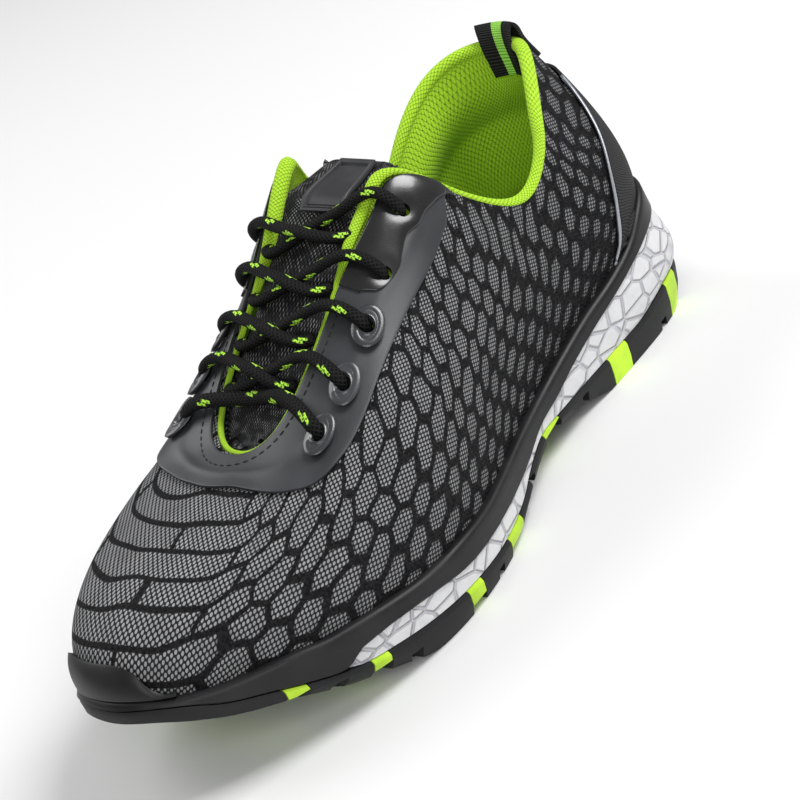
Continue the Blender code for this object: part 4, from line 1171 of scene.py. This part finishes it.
def lining_finish():
    sheen = {"Sheen_Weight": 0.15, "Sheen_Roughness": 0.5}
    finish = Finish("lime_lining", (0.45, 0.80, 0.020), 0.85, **sheen)
    finish.set("Sheen Tint", (0.75, 1.0, 0.25, 1.0))
    u, v = finish.uv()
    knobs = finish.grains(u, v, 0.0017, 0.0022, 0.00062, 0.00078)
    fuzz = finish.noise(1500.0, 2.0)
    shade = finish.mix(knobs, (0.30, 0.56, 0.006), (0.46, 0.80, 0.022))
    finish.blend(finish.step(fuzz, 0.3, 0.8, 0.0, 0.2), shade, (0.58, 0.86, 0.06))
    finish.bump(knobs, 0.0007, 0.8)
    finish.bump(fuzz, 0.0002, 0.5)
    return finish.material


lining = lay("collar_lining", RING, 64, put_lining, lining_chart, closed=True)
thicken(lining, LINING_THICK, angle=80.0)
dress(lining, lining_finish())

# %% [markdown]
# ## The film round the throat
# A satin film is welded round the throat and carries the eyelets. Over it lie three
# moulded pads on each side and, at the top, a larger glossy patch with two eyelets. The
# sheets get a rounded rim by a bevel, because that thin bright line is what shows them.

# %% Finishes of the film and the mouldings
def film_finish(name, colour, roughness, **sockets):
    finish = Finish(name, colour, roughness, **sockets)
    cloud = finish.noise(45.0, 3.0)
    grain = finish.noise(1800.0, 2.0)
    lighter = tuple(c * 1.35 for c in colour)
    finish.blend(finish.step(cloud, 0.3, 0.7), colour, lighter)
    finish.rough(finish.step(cloud, 0.3, 0.7, roughness, roughness + 0.07))
    finish.bump(grain, 0.00006, 0.5)
    finish.bump(cloud, 0.0008, 0.12)
    return finish.material


pad_coat = {"Coat_Weight": 0.3, "Coat_Roughness": 0.2}
gloss_coat = {"Coat_Weight": 0.5, "Coat_Roughness": 0.15}
satin_film = film_finish("satin_film", (0.030, 0.031, 0.035), 0.38)
pad_film = film_finish("pad_film", (0.036, 0.037, 0.042), 0.25, **pad_coat)
gloss = film_finish("gloss_moulding", (0.010, 0.010, 0.011), 0.24, **gloss_coat)

THROAT_EDGE = 0.975
FILM_THICK = 0.0010
MOULDING_THICK = 0.0018
SOFT_RIM = 0.0003
FILM_EDGE = [
    # turn, share of the film's lower edge
    (0.190, 0.925), (0.212, 0.710), (0.231, 0.690), (0.287, 0.685), (0.337, 0.637), (0.358, 0.644),
    (0.385, 0.701), (0.438, 0.822), (0.476, 0.870), (0.520, 0.875), (0.560, 0.852), (0.600, 0.780),
    (0.640, 0.700), (0.680, 0.680), (0.769, 0.690), (0.790, 0.715), (0.810, 0.925),
]
film_edge_at = steady(FILM_EDGE)


# %% Lay the film
def put_film(across, up):
    t = between(FILM_EDGE[-1][0], FILM_EDGE[0][0], across)
    share = between(film_edge_at(t)[:, 0], THROAT_EDGE, up)
    ridge = 0.0003 * bell(up, 0.42, 0.10)
    return on_skin(t, share, FILM_LIFT + ridge)


film = lay("throat_film", 400, 22, put_film)
punch(film, PUNCH_FILM)
thicken(film, FILM_THICK, SOFT_RIM)
dress(film, satin_film, "satin_film", "eyestay")


# %% Eyelet pads
PAD_HALF_LENGTH = 0.0068
PAD_TAPER = 0.0012
PAD_HALF_WIDTHS = (0.0040, 0.0056)


def around(turn, share, angle, radius):
    """Turn and share at an angle and a distance from another place on the upper."""
    rise = skin(turn, share + 0.01) - skin(turn, share - 0.01)
    per_share = np.linalg.norm(rise) / 0.02
    along = radius * np.cos(angle) / metres_per_turn(turn, share)
    return turn + along, share + radius * np.sin(angle) / per_share


def make_pad(number, side):
    turn, share = eyelet(number, side)

    def put(across, up):
        """Half lengths and widths make an egg; the rim and the eyelet's edge are raised."""
        angle = -2 * math.pi * across
        long_half = PAD_HALF_LENGTH - PAD_TAPER * np.sin(angle)
        wide_half = np.where(np.sin(angle) > 0, *PAD_HALF_WIDTHS)
        outline = np.hypot(np.cos(angle) / long_half, np.sin(angle) / wide_half)
        spot = around(turn, share, angle, between(EYELET_HOLE, 1 / outline, up))
        swell = 0.0003 * bell(up, 0.86, 0.10) + 0.0005 * bell(up, 0.0, 0.16)
        return on_skin(*spot, PATCH_LIFT - 0.0008 + swell)

    here, node_side = SIDE_WORDS[side]
    pad = lay(f"pad_{here}_{number + 1}", 48, 12, put, closed=True)
    thicken(pad, MOULDING_THICK, SOFT_RIM)
    dress(pad, pad_film, "pad_film", f"eyelet_pad_{node_side}_{number + 1}")


for number, side in eyelets[:2 * PAD_COUNT]:
    make_pad(number, side)

# %% Moulded patches at the top eyelets
PATCH_EDGE = [
    (0.193, 0.930), (0.197, 0.885), (0.204, 0.836), (0.213, 0.802), (0.222, 0.800), (0.233, 0.824),
    (0.241, 0.812), (0.250, 0.793), (0.260, 0.800), (0.267, 0.828), (0.272, 0.890),
]
PATCH_EYELETS = (3, 4)
PATCH_RIM = 0.0004
PATCH_CROWN = 0.0011
EYELET_HOLLOW = 0.0009
patch_edge_at = steady(PATCH_EDGE)


def eyelet_pin(number, side, radius):
    """Round pin square to the upper at an eyelet, used as a cutter."""
    place_at = eyelet(number, side)
    bpy.ops.object.select_all(action="DESELECT")
    facing = Vector(skin_normal(*place_at)).to_track_quat("Z", "Y").to_euler()
    bpy.ops.mesh.primitive_cylinder_add(
        vertices=32, radius=radius, depth=0.012, location=skin(*place_at), rotation=facing
    )
    return bpy.context.object


def make_patch(side):
    first, last = PATCH_EDGE[0][0], PATCH_EDGE[-1][0]
    start, end = (last, first) if side > 0 else (first, last)

    def put(across, up):
        """Crowned in the middle, with a hollow round each of its two eyelets."""
        t = between(start, end, across)
        share = between(patch_edge_at(t)[:, 0], THROAT_EDGE, up)
        turn = sided(t, side)
        crown = np.sin(np.pi * across) ** 0.7 * np.sin(np.pi * np.clip(up, 0, 1)) ** 0.7
        lift = PATCH_LIFT - 0.0004 + PATCH_CROWN * crown
        for number in PATCH_EYELETS:
            away = np.linalg.norm(skin(turn, share) - skin(*eyelet(number, side)), axis=-1)
            lift = lift - EYELET_HOLLOW * bell(away, 0.0, 0.0042)
        return on_skin(turn, share, lift)

    here, node_side = SIDE_WORDS[side]
    patch = lay(f"top_patch_{here}", 120, 40, put)
    thicken(patch, MOULDING_THICK, PATCH_RIM)
    for number in PATCH_EYELETS:
        cut(patch, eyelet_pin(number, side, EYELET_HOLE))
    soften(patch, 40)
    dress(patch, gloss, "gloss_moulding", f"top_patch_{node_side}")


for side in (1, -1):
    make_patch(side)

# %% [markdown]
# ## Heel counter, reflective strips and toe bumper
# A fine dark mesh covers the stiff heel cup. A silver strip is set along its front edge,
# and a smooth rubber bumper guards the toe above the carrier.

# %% Counter, strips and toe guard
COUNTER = [
    (0.00, 0.1280), (0.07, 0.1190), (0.22, 0.1080), (0.37, 0.0915),
    (0.50, 0.0680), (0.65, 0.0500), (0.76, 0.0420),
]
counter_at = steady(COUNTER)
COUNTER_LIFT = 0.0018
STRIP_WIDTH = 0.0026
STRIP_CROWN = 0.0004
RIM_CLEAR = 0.0013


def foot_share(turn):
    """Share at which the outer face stands clear above the rim."""
    foot, low, _, _ = rib(turn)
    return RIM_CLEAR / (3 * (low[..., 2] - foot[..., 2]))


def counter_finish():
    finish = Finish("counter_fabric", (0.012, 0.012, 0.013), 0.75, Specular_IOR_Level=0.3)
    u, v = finish.uv()
    weave = finish.grains(u, v, 0.0011, 0.0013, 0.00028, 0.00036)
    finish.blend(weave, (0.006, 0.006, 0.007), (0.045, 0.045, 0.047))
    finish.bump(weave, 0.0003, 0.7)
    return finish.material


def put_counter(across, up):
    share = COUNTER[-1][0] * up
    half = counter_at(share)[:, 0]
    t = np.mod(half * (1 - 2 * across), 1.0)
    return on_skin(t, np.maximum(share, foot_share(t)), COUNTER_LIFT)


counter = lay("heel_counter_cloth", 96, 40, put_counter, lambda a, b: (a * 0.11, b * 0.07))
thicken(counter, 0.0010, 0.0003)
dress(counter, counter_finish(), "counter_fabric", "heel_counter")

silver = Finish("reflective_grey", (0.33, 0.35, 0.38), 0.38, Metallic=0.35)
silver.bump(silver.voronoi(2200.0), 0.0001, 0.4)
silver.blend(silver.noise(500.0, 2.0), (0.27, 0.29, 0.32), (0.40, 0.42, 0.45))


def make_strip(side):
    def put(across, up):
        share = COUNTER[-1][0] * up
        start = counter_at(share)[:, 0]
        part = STRIP_WIDTH * sided(across, -side)
        t = sided(start + (2 * GAP + part) / metres_per_turn(start, share), side)
        lift = COUNTER_LIFT - 0.0001 + STRIP_CROWN * np.sin(np.pi * across)
        return on_skin(t, np.maximum(share, foot_share(t)), lift)

    here, node_side = SIDE_WORDS[side]
    strip = lay(f"silver_strip_{here}", 6, 48, put)
    thicken(strip, 0.0010, 0.0002)
    dress(strip, silver.material, "reflective_grey", f"reflective_strip_{node_side}")


for side in (1, -1):
    make_strip(side)

BUMPER = [
    (0.448, 0.020), (0.462, 0.050), (0.475, 0.140), (0.500, 0.185),
    (0.540, 0.185), (0.565, 0.120), (0.580, 0.020),
]
BUMPER_LIFT = 0.0032
bumper_at = steady(BUMPER)


def put_bumper(across, up):
    t = between(BUMPER[-1][0], BUMPER[0][0], across)
    low = foot_share(t)
    share = between(low, np.maximum(bumper_at(t)[:, 0], 1.5 * low), up)
    return on_skin(t, share, BUMPER_LIFT * (1 - 0.5 * up**2))


bumper = lay("toe_guard", 96, 14, put_bumper)
thicken(bumper, 0.0025, 0.0006)
dress(bumper, carrier_finish, "black_rubber", "toe_bumper")

# %% [markdown]
# ## The tongue and its badge
# The tongue is a padded mesh that bridges the throat and ends free above it. Its top face
# follows the same curve as in the CAD, from edge to edge of the throat. A plain rubber
# badge with a raised frame is welded near its end.

# %% Shape of the tongue
TONGUE_THICK = 0.0040
TONGUE_TUCK = 0.10
TONGUE = [
    # turn, crown as a share of the width
    (0.225, 0.02), (0.232, 0.03), (0.245, 0.05), (0.260, 0.08), (0.285, 0.12), (0.315, 0.17),
    (0.350, 0.22), (0.390, 0.26), (0.430, 0.28), (0.465, 0.28), (0.492, 0.28),
]
TONGUE_END = 0.023
TONGUE_END_RISE = 0.0010
# run past the top row and width of the free end
TONGUE_TOP = [(1.00, 0.66), (0.88, 0.78), (0.45, 0.90)]
crown_at = steady(TONGUE)


def beneath(turn, share):
    return on_skin(turn, share, -thickness(turn, share) - 3 * GAP)


def tongue_point(turn, way):
    """Point on the tongue's top face, way 0 at the throat's outer edge and 1 at its inner."""
    turn, way = np.broadcast_arrays(np.asarray(turn, float), np.asarray(way, float))
    outer, inner = beneath(turn, 1.0), beneath(1 - turn, 1.0)
    reach = crown_at(turn) * np.linalg.norm(outer - inner, axis=-1, keepdims=True)
    first = outer + unit(outer - beneath(turn, 1 - TONGUE_TUCK)) * reach
    second = inner + unit(inner - beneath(1 - turn, 1 - TONGUE_TUCK)) * reach
    return handled(outer, first, second, inner, way)


def tongue_normal(turn, way):
    across = tongue_point(turn, way + 0.05) - tongue_point(turn, way - 0.05)
    ahead = tongue_point(turn + 0.01, way) - tongue_point(turn - 0.01, way)
    return unit(np.cross(across, ahead))


def tongue_rows():
    """Rows of the tongue's top face, from its free end to the toe, inner side first."""
    rows = []
    for turn, _ in TONGUE:
        row = [tongue_point(turn, way) for way in np.linspace(0, 1, 13)]
        ends = [beneath(spot, 1 - TONGUE_TUCK) for spot in (turn, 1 - turn)]
        rows.append(np.array([ends[0], *row, ends[1]])[::-1])
    first = rows[0]
    centre = first[len(first) // 2]
    # the free end lies flat: its outer columns carry on past the throat's edges
    flat = first.copy()
    flat[0] = 1.5 * first[1] - 0.5 * first[2]
    flat[-1] = 1.5 * first[-2] - 0.5 * first[-3]
    top = []
    for run, width in TONGUE_TOP:
        step = np.array([0, TONGUE_END * run, TONGUE_END_RISE * run])
        shape = first + (flat - first) * min(run / 0.8, 1.0)
        top.append(centre + (shape - centre) * width + step)
    return np.array(top + rows)


tongue_net = tongue_rows()
tongue_down = cubic(range(len(tongue_net)), tongue_net.reshape(len(tongue_net), -1))


def on_tongue(column, row, lift):
    """Point on the tongue's top face by column 0 to 1 and row 0 to 1, with its lift."""
    columns = tongue_net.shape[1]

    def spot(c, r):
        lines = tongue_down(np.clip(r, 0, 1) * (len(tongue_net) - 1)).reshape(-1, columns, 3)
        c = np.clip(c, 0, 1) * (columns - 1)
        low = np.clip(c.astype(int), 0, columns - 2)
        part = c - low
        index = np.arange(len(c))
        p0 = lines[index, np.maximum(low - 1, 0)]
        p1, p2 = lines[index, low], lines[index, low + 1]
        p3 = lines[index, np.minimum(low + 2, columns - 1)]
        t = part[:, None]
        bend = (2 * p1 + (p2 - p0) * t + (2 * p0 - 5 * p1 + 4 * p2 - p3) * t**2
                + (3 * p1 - p0 - 3 * p2 + p3) * t**3)
        return bend / 2

    centre = spot(column, row)
    over = spot(column + 0.02, row) - spot(column - 0.02, row)
    down = spot(column, row + 0.01) - spot(column, row - 0.01)
    return centre + unit(np.cross(down, over)) * np.asarray(lift, float)[..., None]


def tongue_finish():
    finish = Finish("tongue_mesh", (0.010, 0.010, 0.011), 0.80, Specular_IOR_Level=0.25)
    u, v = finish.uv()
    yarn = finish.grains(u, v, 0.0023, 0.0024, 0.00036, 0.00062)
    patchy = finish.step(finish.noise(260.0, 2.0), 0.40, 0.65)
    shown = finish.times(yarn, finish.math("MULTIPLY_ADD", patchy, 0.75, 0.08))
    finish.blend(shown, (0.007, 0.007, 0.008), (0.32, 0.32, 0.33))
    finish.bump(yarn, 0.0004, 0.7)
    finish.bump(finish.voronoi(1100.0), 0.0003, 0.5)
    return finish.material


def put_tongue(across, up):
    row = 1 - up
    edge = np.minimum(across, 1 - across)
    puff = 0.0012 * np.clip(edge / 0.25, 0, 1) * np.clip(row * 30, 0, 1)
    return on_tongue(across, row, puff - 0.0015 * bell(edge, 0.0, 0.06))


tongue = lay("tongue_pad", 72, 150, put_tongue, lambda a, b: (a * 0.075, b * 0.150))
thicken(tongue, TONGUE_THICK, 0.0005, 60.0)
dress(tongue, tongue_finish(), "tongue_mesh", "tongue")

# %% Badge of the tongue
BADGE_ACROSS = (0.36, 0.71)
BADGE_ROWS = (4.0, 1.0)
BADGE_GRID = 60
BADGE_FRAME = 0.115
BADGE_STEP = 0.0003
BADGE_LIFT = 0.0028
BADGE_THICK = 0.0014


def put_badge(across, up):
    """A raised frame with a fine groove in it, and a furrow inside the frame."""
    columns = tongue_net.shape[1] - 3
    column = (1 + between(*BADGE_ACROSS, across) * columns) / (tongue_net.shape[1] - 1)
    row = between(*BADGE_ROWS, up) / (len(tongue_net) - 1)
    edge = np.minimum(np.minimum(across, 1 - across), np.minimum(up, 1 - up))
    furrow = (edge >= BADGE_FRAME) & (edge < BADGE_FRAME + 0.03)
    groove = (edge > 0.055) & (edge < 0.075)
    lift = 0.0007 * (edge < BADGE_FRAME) - BADGE_STEP * furrow - BADGE_STEP * groove
    return on_tongue(column, row, BADGE_LIFT + lift)


badge_rubber = rubber_finish("badge_rubber", (0.030, 0.030, 0.033), 0.48)
badge = lay("badge_plate", BADGE_GRID, BADGE_GRID, put_badge)
thicken(badge, BADGE_THICK, 0.0002)
dress(badge, badge_rubber, "badge_rubber", "tongue_badge")

# %% [markdown]
# ## The laces
# One round cord, black with pairs of lime flecks, runs through the eyelets: a bar over the
# lowest pair, then a crossing between each pair, each strand from under the throat's edge
# over into the next eyelet of the other side. The ends are hidden under the top eyelets.
# Each strand is a grid that is rolled into a tube along its route.

# %% Lace cord
LACE_WIDE = 0.0027
LACE_TALL = 0.0020
LACE_START = 0.36
LACE_CROSS_RISE = 0.0036
LACE_CLEAR = 0.0016
LACE_STEP = 0.0007
LACE_SIDES = 18
# place along the cord in metres and share of a turn of each lime fleck
FLECKS = ((0.0, 0.0), (0.0017, 0.085), (0.0062, 0.5), (0.0079, 0.585))
FLECK_PITCH = 0.0125


def lace_finish():
    finish = Finish("lace_cord", (0.012, 0.012, 0.012), 0.70, Specular_IOR_Level=0.15)
    times, plus, minus = finish.times, finish.plus, finish.minus
    u, v = finish.uv()
    # two sets of yarns wind round the cord eight times, one each way
    yarns = [finish.math("SINE", finish.math("MULTIPLY_ADD", u, 50.26, times(v, pitch)))
             for pitch in (4200.0, -4200.0)]
    weave = finish.math("MAXIMUM", *yarns)
    fleck = None
    for shift, turn in FLECKS:
        run = finish.math("MODULO", plus(v, shift + 0.5), FLECK_PITCH)
        run = finish.math("ABSOLUTE", minus(run, 0.006))
        side = plus(plus(u, turn), times(v, 18.0))
        side = finish.math("ABSOLUTE", minus(finish.math("FRACT", side), 0.5))
        dash = times(finish.step(run, 0.0019, 0.0015), finish.step(side, 0.042, 0.028))
        fleck = dash if fleck is None else finish.math("MAXIMUM", fleck, dash)
    broken = times(fleck, finish.step(weave, -0.2, 0.3, 0.25, 1.0))
    base = finish.mix(finish.step(weave, 0.0, 1.0), (0.001, 0.001, 0.001), (0.011, 0.011, 0.011))
    finish.blend(broken, base, (0.50, 0.92, 0.08))
    finish.bump(weave, 0.0003, 0.6)
    return finish.material


lace_cord = lace_finish()


def make_cord(name, route, nodes_for=()):
    """Tube along a smooth curve through the route, with rounded ends."""
    route = np.array(route, float)
    knots = way_along(route)
    curve = cubic(knots, route)
    rows = max(24, int(knots[-1] / LACE_STEP))
    line = curve(np.linspace(0, knots[-1], rows + 1))
    ahead = unit(np.gradient(line, axis=0))
    side = unit(np.cross(ahead[0], [0.0, 0.0, 1.0]))
    sides = []
    for step in ahead:
        side = unit(side - step * (side @ step))
        sides.append(side)
    sides = np.array(sides)
    tops = np.cross(sides, ahead)

    def put(across, up):
        index = np.clip(np.round(up * rows).astype(int), 0, rows)
        angle = 2 * math.pi * across
        end = np.minimum(up, 1 - up) * knots[-1]
        slim = np.sqrt(np.clip(1 - (1 - np.clip(end / LACE_TALL, 0, 1)) ** 2, 0, 1))
        flat = sides[index] * (np.cos(angle) * slim * LACE_WIDE)[:, None]
        rise = tops[index] * (np.sin(angle) * slim * LACE_TALL)[:, None]
        return line[index] + flat + rise

    cord = lay(name, LACE_SIDES, rows, put, lambda a, b: (a, b * knots[-1]), closed=True)
    print(f"{name}: {knots[-1] / MM:.0f} mm of cord")
    return dress(cord, lace_cord, "lace_cord", *nodes_for)


def into_eyelet(number, side):
    """Route over the throat's edge, along the film and down through an eyelet."""
    turn, share = eyelet(number, side)
    metre = np.linalg.norm(skin(turn, share + 0.02) - skin(turn, share)) / 0.02
    rise = LACE_TALL + GAP
    return [
        on_skin(turn, 1.0, FILM_LIFT + rise + 0.0003),
        on_skin(turn, share + 0.0052 / metre, PATCH_LIFT + rise - 0.0004),
        on_skin(turn, share + 0.0018 / metre, PATCH_LIFT + 0.0002),
        on_skin(turn, share, -0.0030),
    ]


def throat_turn(number, side):
    return sided(eyelet(number, side)[0], side)


def strand_route(number, side, rise):
    """From beneath one edge of the throat to the next eyelet of the other side."""
    here, there = throat_turn(number, -side), throat_turn(number + 1, -side)
    start = here + LACE_START * (there - here)
    centre = (here + throat_turn(number + 1, side)) / 2
    foot, tuck, steady_way = [sided(share, -side) for share in (0.02, 0.06, 0.16)]
    clear = LACE_TALL + LACE_CLEAR
    end = into_eyelet(number + 1, side)
    first = tongue_point(start, steady_way) + tongue_normal(start, steady_way) * clear
    low = tongue_point(centre, 0.5) + tongue_normal(centre, 0.5) * clear
    # a taut strand stands nearly straight between the tongue's side and the far edge
    taut = (first + end[0]) / 2
    taut[:2] = low[:2]
    over = np.maximum(low, taut - [0, 0, 0.0008]) + tongue_normal(centre, 0.5) * rise
    return [
        tongue_point(start - 0.004, foot) + tongue_normal(start, tuck) * (clear - 0.001),
        first,
        over,
        over * 0.45 + end[0] * 0.55 + [0, 0, 0.0004],
    ] + end


# %% Run the lace through the eyelets
lowest = (throat_turn(0, 1) + throat_turn(0, -1)) / 2
bridge_clear = LACE_TALL + LACE_CLEAR + 2 * GAP
bridge = tongue_point(lowest, 0.5) + tongue_normal(lowest, 0.5) * bridge_clear
make_cord("lace_over_toe", into_eyelet(0, 1)[::-1] + [bridge] + into_eyelet(0, -1), ["lace_bar"])
for number in range(len(EYELETS) - 1):
    make_cord(f"lace_up_{number + 1}", strand_route(number, 1, 0.0), [f"lace_cross_{number + 1}"])
    make_cord(f"lace_down_{number + 1}", strand_route(number, -1, LACE_CROSS_RISE))

# %% [markdown]
# ## The pull loop
# A strip of ribbed webbing, black with a lime stripe, is folded over the back of the collar
# and sewn down outside and inside.

# %% Webbing of the pull loop
LOOP_WIDTH = 0.017
LOOP_THICK = 0.0014
LOOP_HEIGHT = 0.0085
LOOP_CLEAR = 0.0010
LOOP_LEGS = (0.86, 0.93)


def loop_line(turn):
    """Points of the webbing's outer face at one turn, up outside, over and down inside."""
    off = GAP + LOOP_THICK
    outside = on_skin(turn, 1.0, off)
    inside = on_skin(turn, 1.0, -thickness(turn, 1.0) - off)
    centre = (outside + inside) / 2
    line = [on_skin(turn, share, off) for share in LOOP_LEGS]
    for angle in np.linspace(0, math.pi, 7):
        rise = np.array([0, 0, LOOP_HEIGHT * math.sin(angle) + LOOP_CLEAR])
        line.append(centre + (outside - centre) * math.cos(angle) + rise)
    line += [on_skin(turn, share, -thickness(turn, share) - off) for share in LOOP_LEGS[::-1]]
    return np.array(line)


def put_loop(across, up):
    half = LOOP_WIDTH / 2 / metres_per_turn(0.0, 1.0, 0.01)
    rows = np.stack([loop_line(turn) for turn in (half, 0.0, -half)], axis=1)
    spline = cubic(range(len(rows)), rows.reshape(len(rows), -1))
    spots = spline(up * (len(rows) - 1)).reshape(-1, 3, 3)
    a, b = (1 - across)[:, None], across[:, None]
    return a * (a - b) * spots[:, 0] + 4 * a * b * spots[:, 1] + b * (b - a) * spots[:, 2]


def webbing_finish():
    finish = Finish("webbing", (0.012, 0.012, 0.012), 0.70, Specular_IOR_Level=0.3)
    u, v = finish.uv()
    off_middle = finish.math("ABSOLUTE", finish.minus(u, 0.5))
    stripe = finish.step(off_middle, 0.155, 0.135)
    ribs = finish.math("SINE", finish.times(v, 6000.0))
    yarn = finish.math("SINE", finish.times(u, 110.0))
    black = finish.mix(finish.step(ribs, -1, 1), (0.004, 0.004, 0.004), (0.020, 0.020, 0.020))
    lime = finish.mix(finish.step(yarn, -1, 1), (0.28, 0.70, 0.06), (0.45, 0.92, 0.16))
    finish.blend(stripe, black, lime)
    finish.bump(ribs, 0.0004, 0.7)
    return finish.material


loop = lay("pull_webbing", 20, 80, put_loop, lambda a, b: (a, b * 0.045))
thicken(loop, LOOP_THICK, 0.0003, 50.0)
dress(loop, webbing_finish(), "webbing", "pull_loop")

# %% [markdown]
# ## Stitches
# Black thread runs along the throat's edge. One stitch is a
# small rounded bar; copies of it lie along a line on the last, joined as one mesh.

# %% Sew the seams
STITCH = 0.0022
STITCH_PITCH = 0.0031
STITCH_WIDE = 0.00028
SEAM_TURNS = (0.275, 0.725)
SEAM_INSET = 0.035
SEAM_POINTS = 240


def sew(name, line, normals, material):
    """Copies of one stitch along a line, each lying on the face."""
    bpy.ops.object.select_all(action="DESELECT")
    bpy.ops.mesh.primitive_uv_sphere_add(segments=8, ring_count=5, radius=1.0)
    seam = bpy.context.object
    seam.name = name
    shape = read(seam.data.vertices, "co", 3) * [STITCH / 2, STITCH_WIDE, STITCH_WIDE]
    faces = [tuple(face.vertices) for face in seam.data.polygons]
    way = way_along(line)

    def at(spot, rows):
        return np.array([np.interp(spot, way, column) for column in rows.T])

    points, all_faces = [], []
    for number, spot in enumerate(np.arange(STITCH_PITCH, way[-1] - STITCH_PITCH, STITCH_PITCH)):
        centre = at(spot, line)
        ahead = unit(at(spot + 0.001, line) - centre)
        up = unit(at(spot, normals))
        points.append(centre + shape @ np.array([ahead, np.cross(up, ahead), up]))
        all_faces += [tuple(i + number * len(shape) for i in face) for face in faces]
    seam.data.clear_geometry()
    seam.data.from_pydata(np.concatenate(points).tolist(), [], all_faces)
    bpy.ops.object.shade_smooth()
    dress(seam, material)


thread = Finish("black_thread", (0.010, 0.010, 0.010), 0.6)
thread.bump(thread.noise(3000.0), 0.0001, 0.5)

seam_turns = np.linspace(*SEAM_TURNS, SEAM_POINTS)
seam_share = THROAT_EDGE - SEAM_INSET
seam_line = on_skin(seam_turns, seam_share, FILM_LIFT + 0.0001)
sew("throat_seam", seam_line, skin_normal(seam_turns, seam_share), thread.material)

# %% [markdown]
# ## Floor and light
# The photograph is a cut-out on white. A pale floor and three large soft lights give the
# same even light, with a long soft highlight on the film and the top patch.

# %% Floor and lights
FLOOR_SIZE = 8.0
FLOOR_GAP = 0.0002
WORLD_LIGHT = 0.24

bpy.ops.object.select_all(action="DESELECT")
bpy.ops.mesh.primitive_plane_add(size=FLOOR_SIZE, location=(0, 0, -FLOOR_GAP))
floor = bpy.context.object
floor.name = "floor"
floor.data.materials.append(Finish("floor", (0.86, 0.86, 0.86), 0.9).material)

world = bpy.context.scene.world or bpy.data.worlds.new("studio")
bpy.context.scene.world = world
world.use_nodes = True
sky = world.node_tree.nodes["Background"]
sky.inputs["Color"].default_value = (1.0, 1.0, 1.0, 1.0)
sky.inputs["Strength"].default_value = WORLD_LIGHT
bpy.context.scene.view_settings.view_transform = "Standard"


# name, place, size in metres and power in watts
SOFTBOXES = [
    ("key", (0.75, 0.65, 1.35), 0.8, 25.0),
    ("fill", (0.9, -1.1, 0.8), 1.0, 9.0),
    ("side", (-1.1, -0.2, 1.0), 0.9, 8.0),
]
LIT_SPOT = Vector((0.0, -0.09, 0.05))
for name, spot, size, power in SOFTBOXES:
    bpy.ops.object.light_add(type="AREA", location=spot)
    light = bpy.context.object
    light.name = name
    light.data.size = size
    light.data.energy = power
    light.rotation_mode = "QUATERNION"
    light.rotation_quaternion = (LIT_SPOT - Vector(spot)).to_track_quat("-Z", "Y")
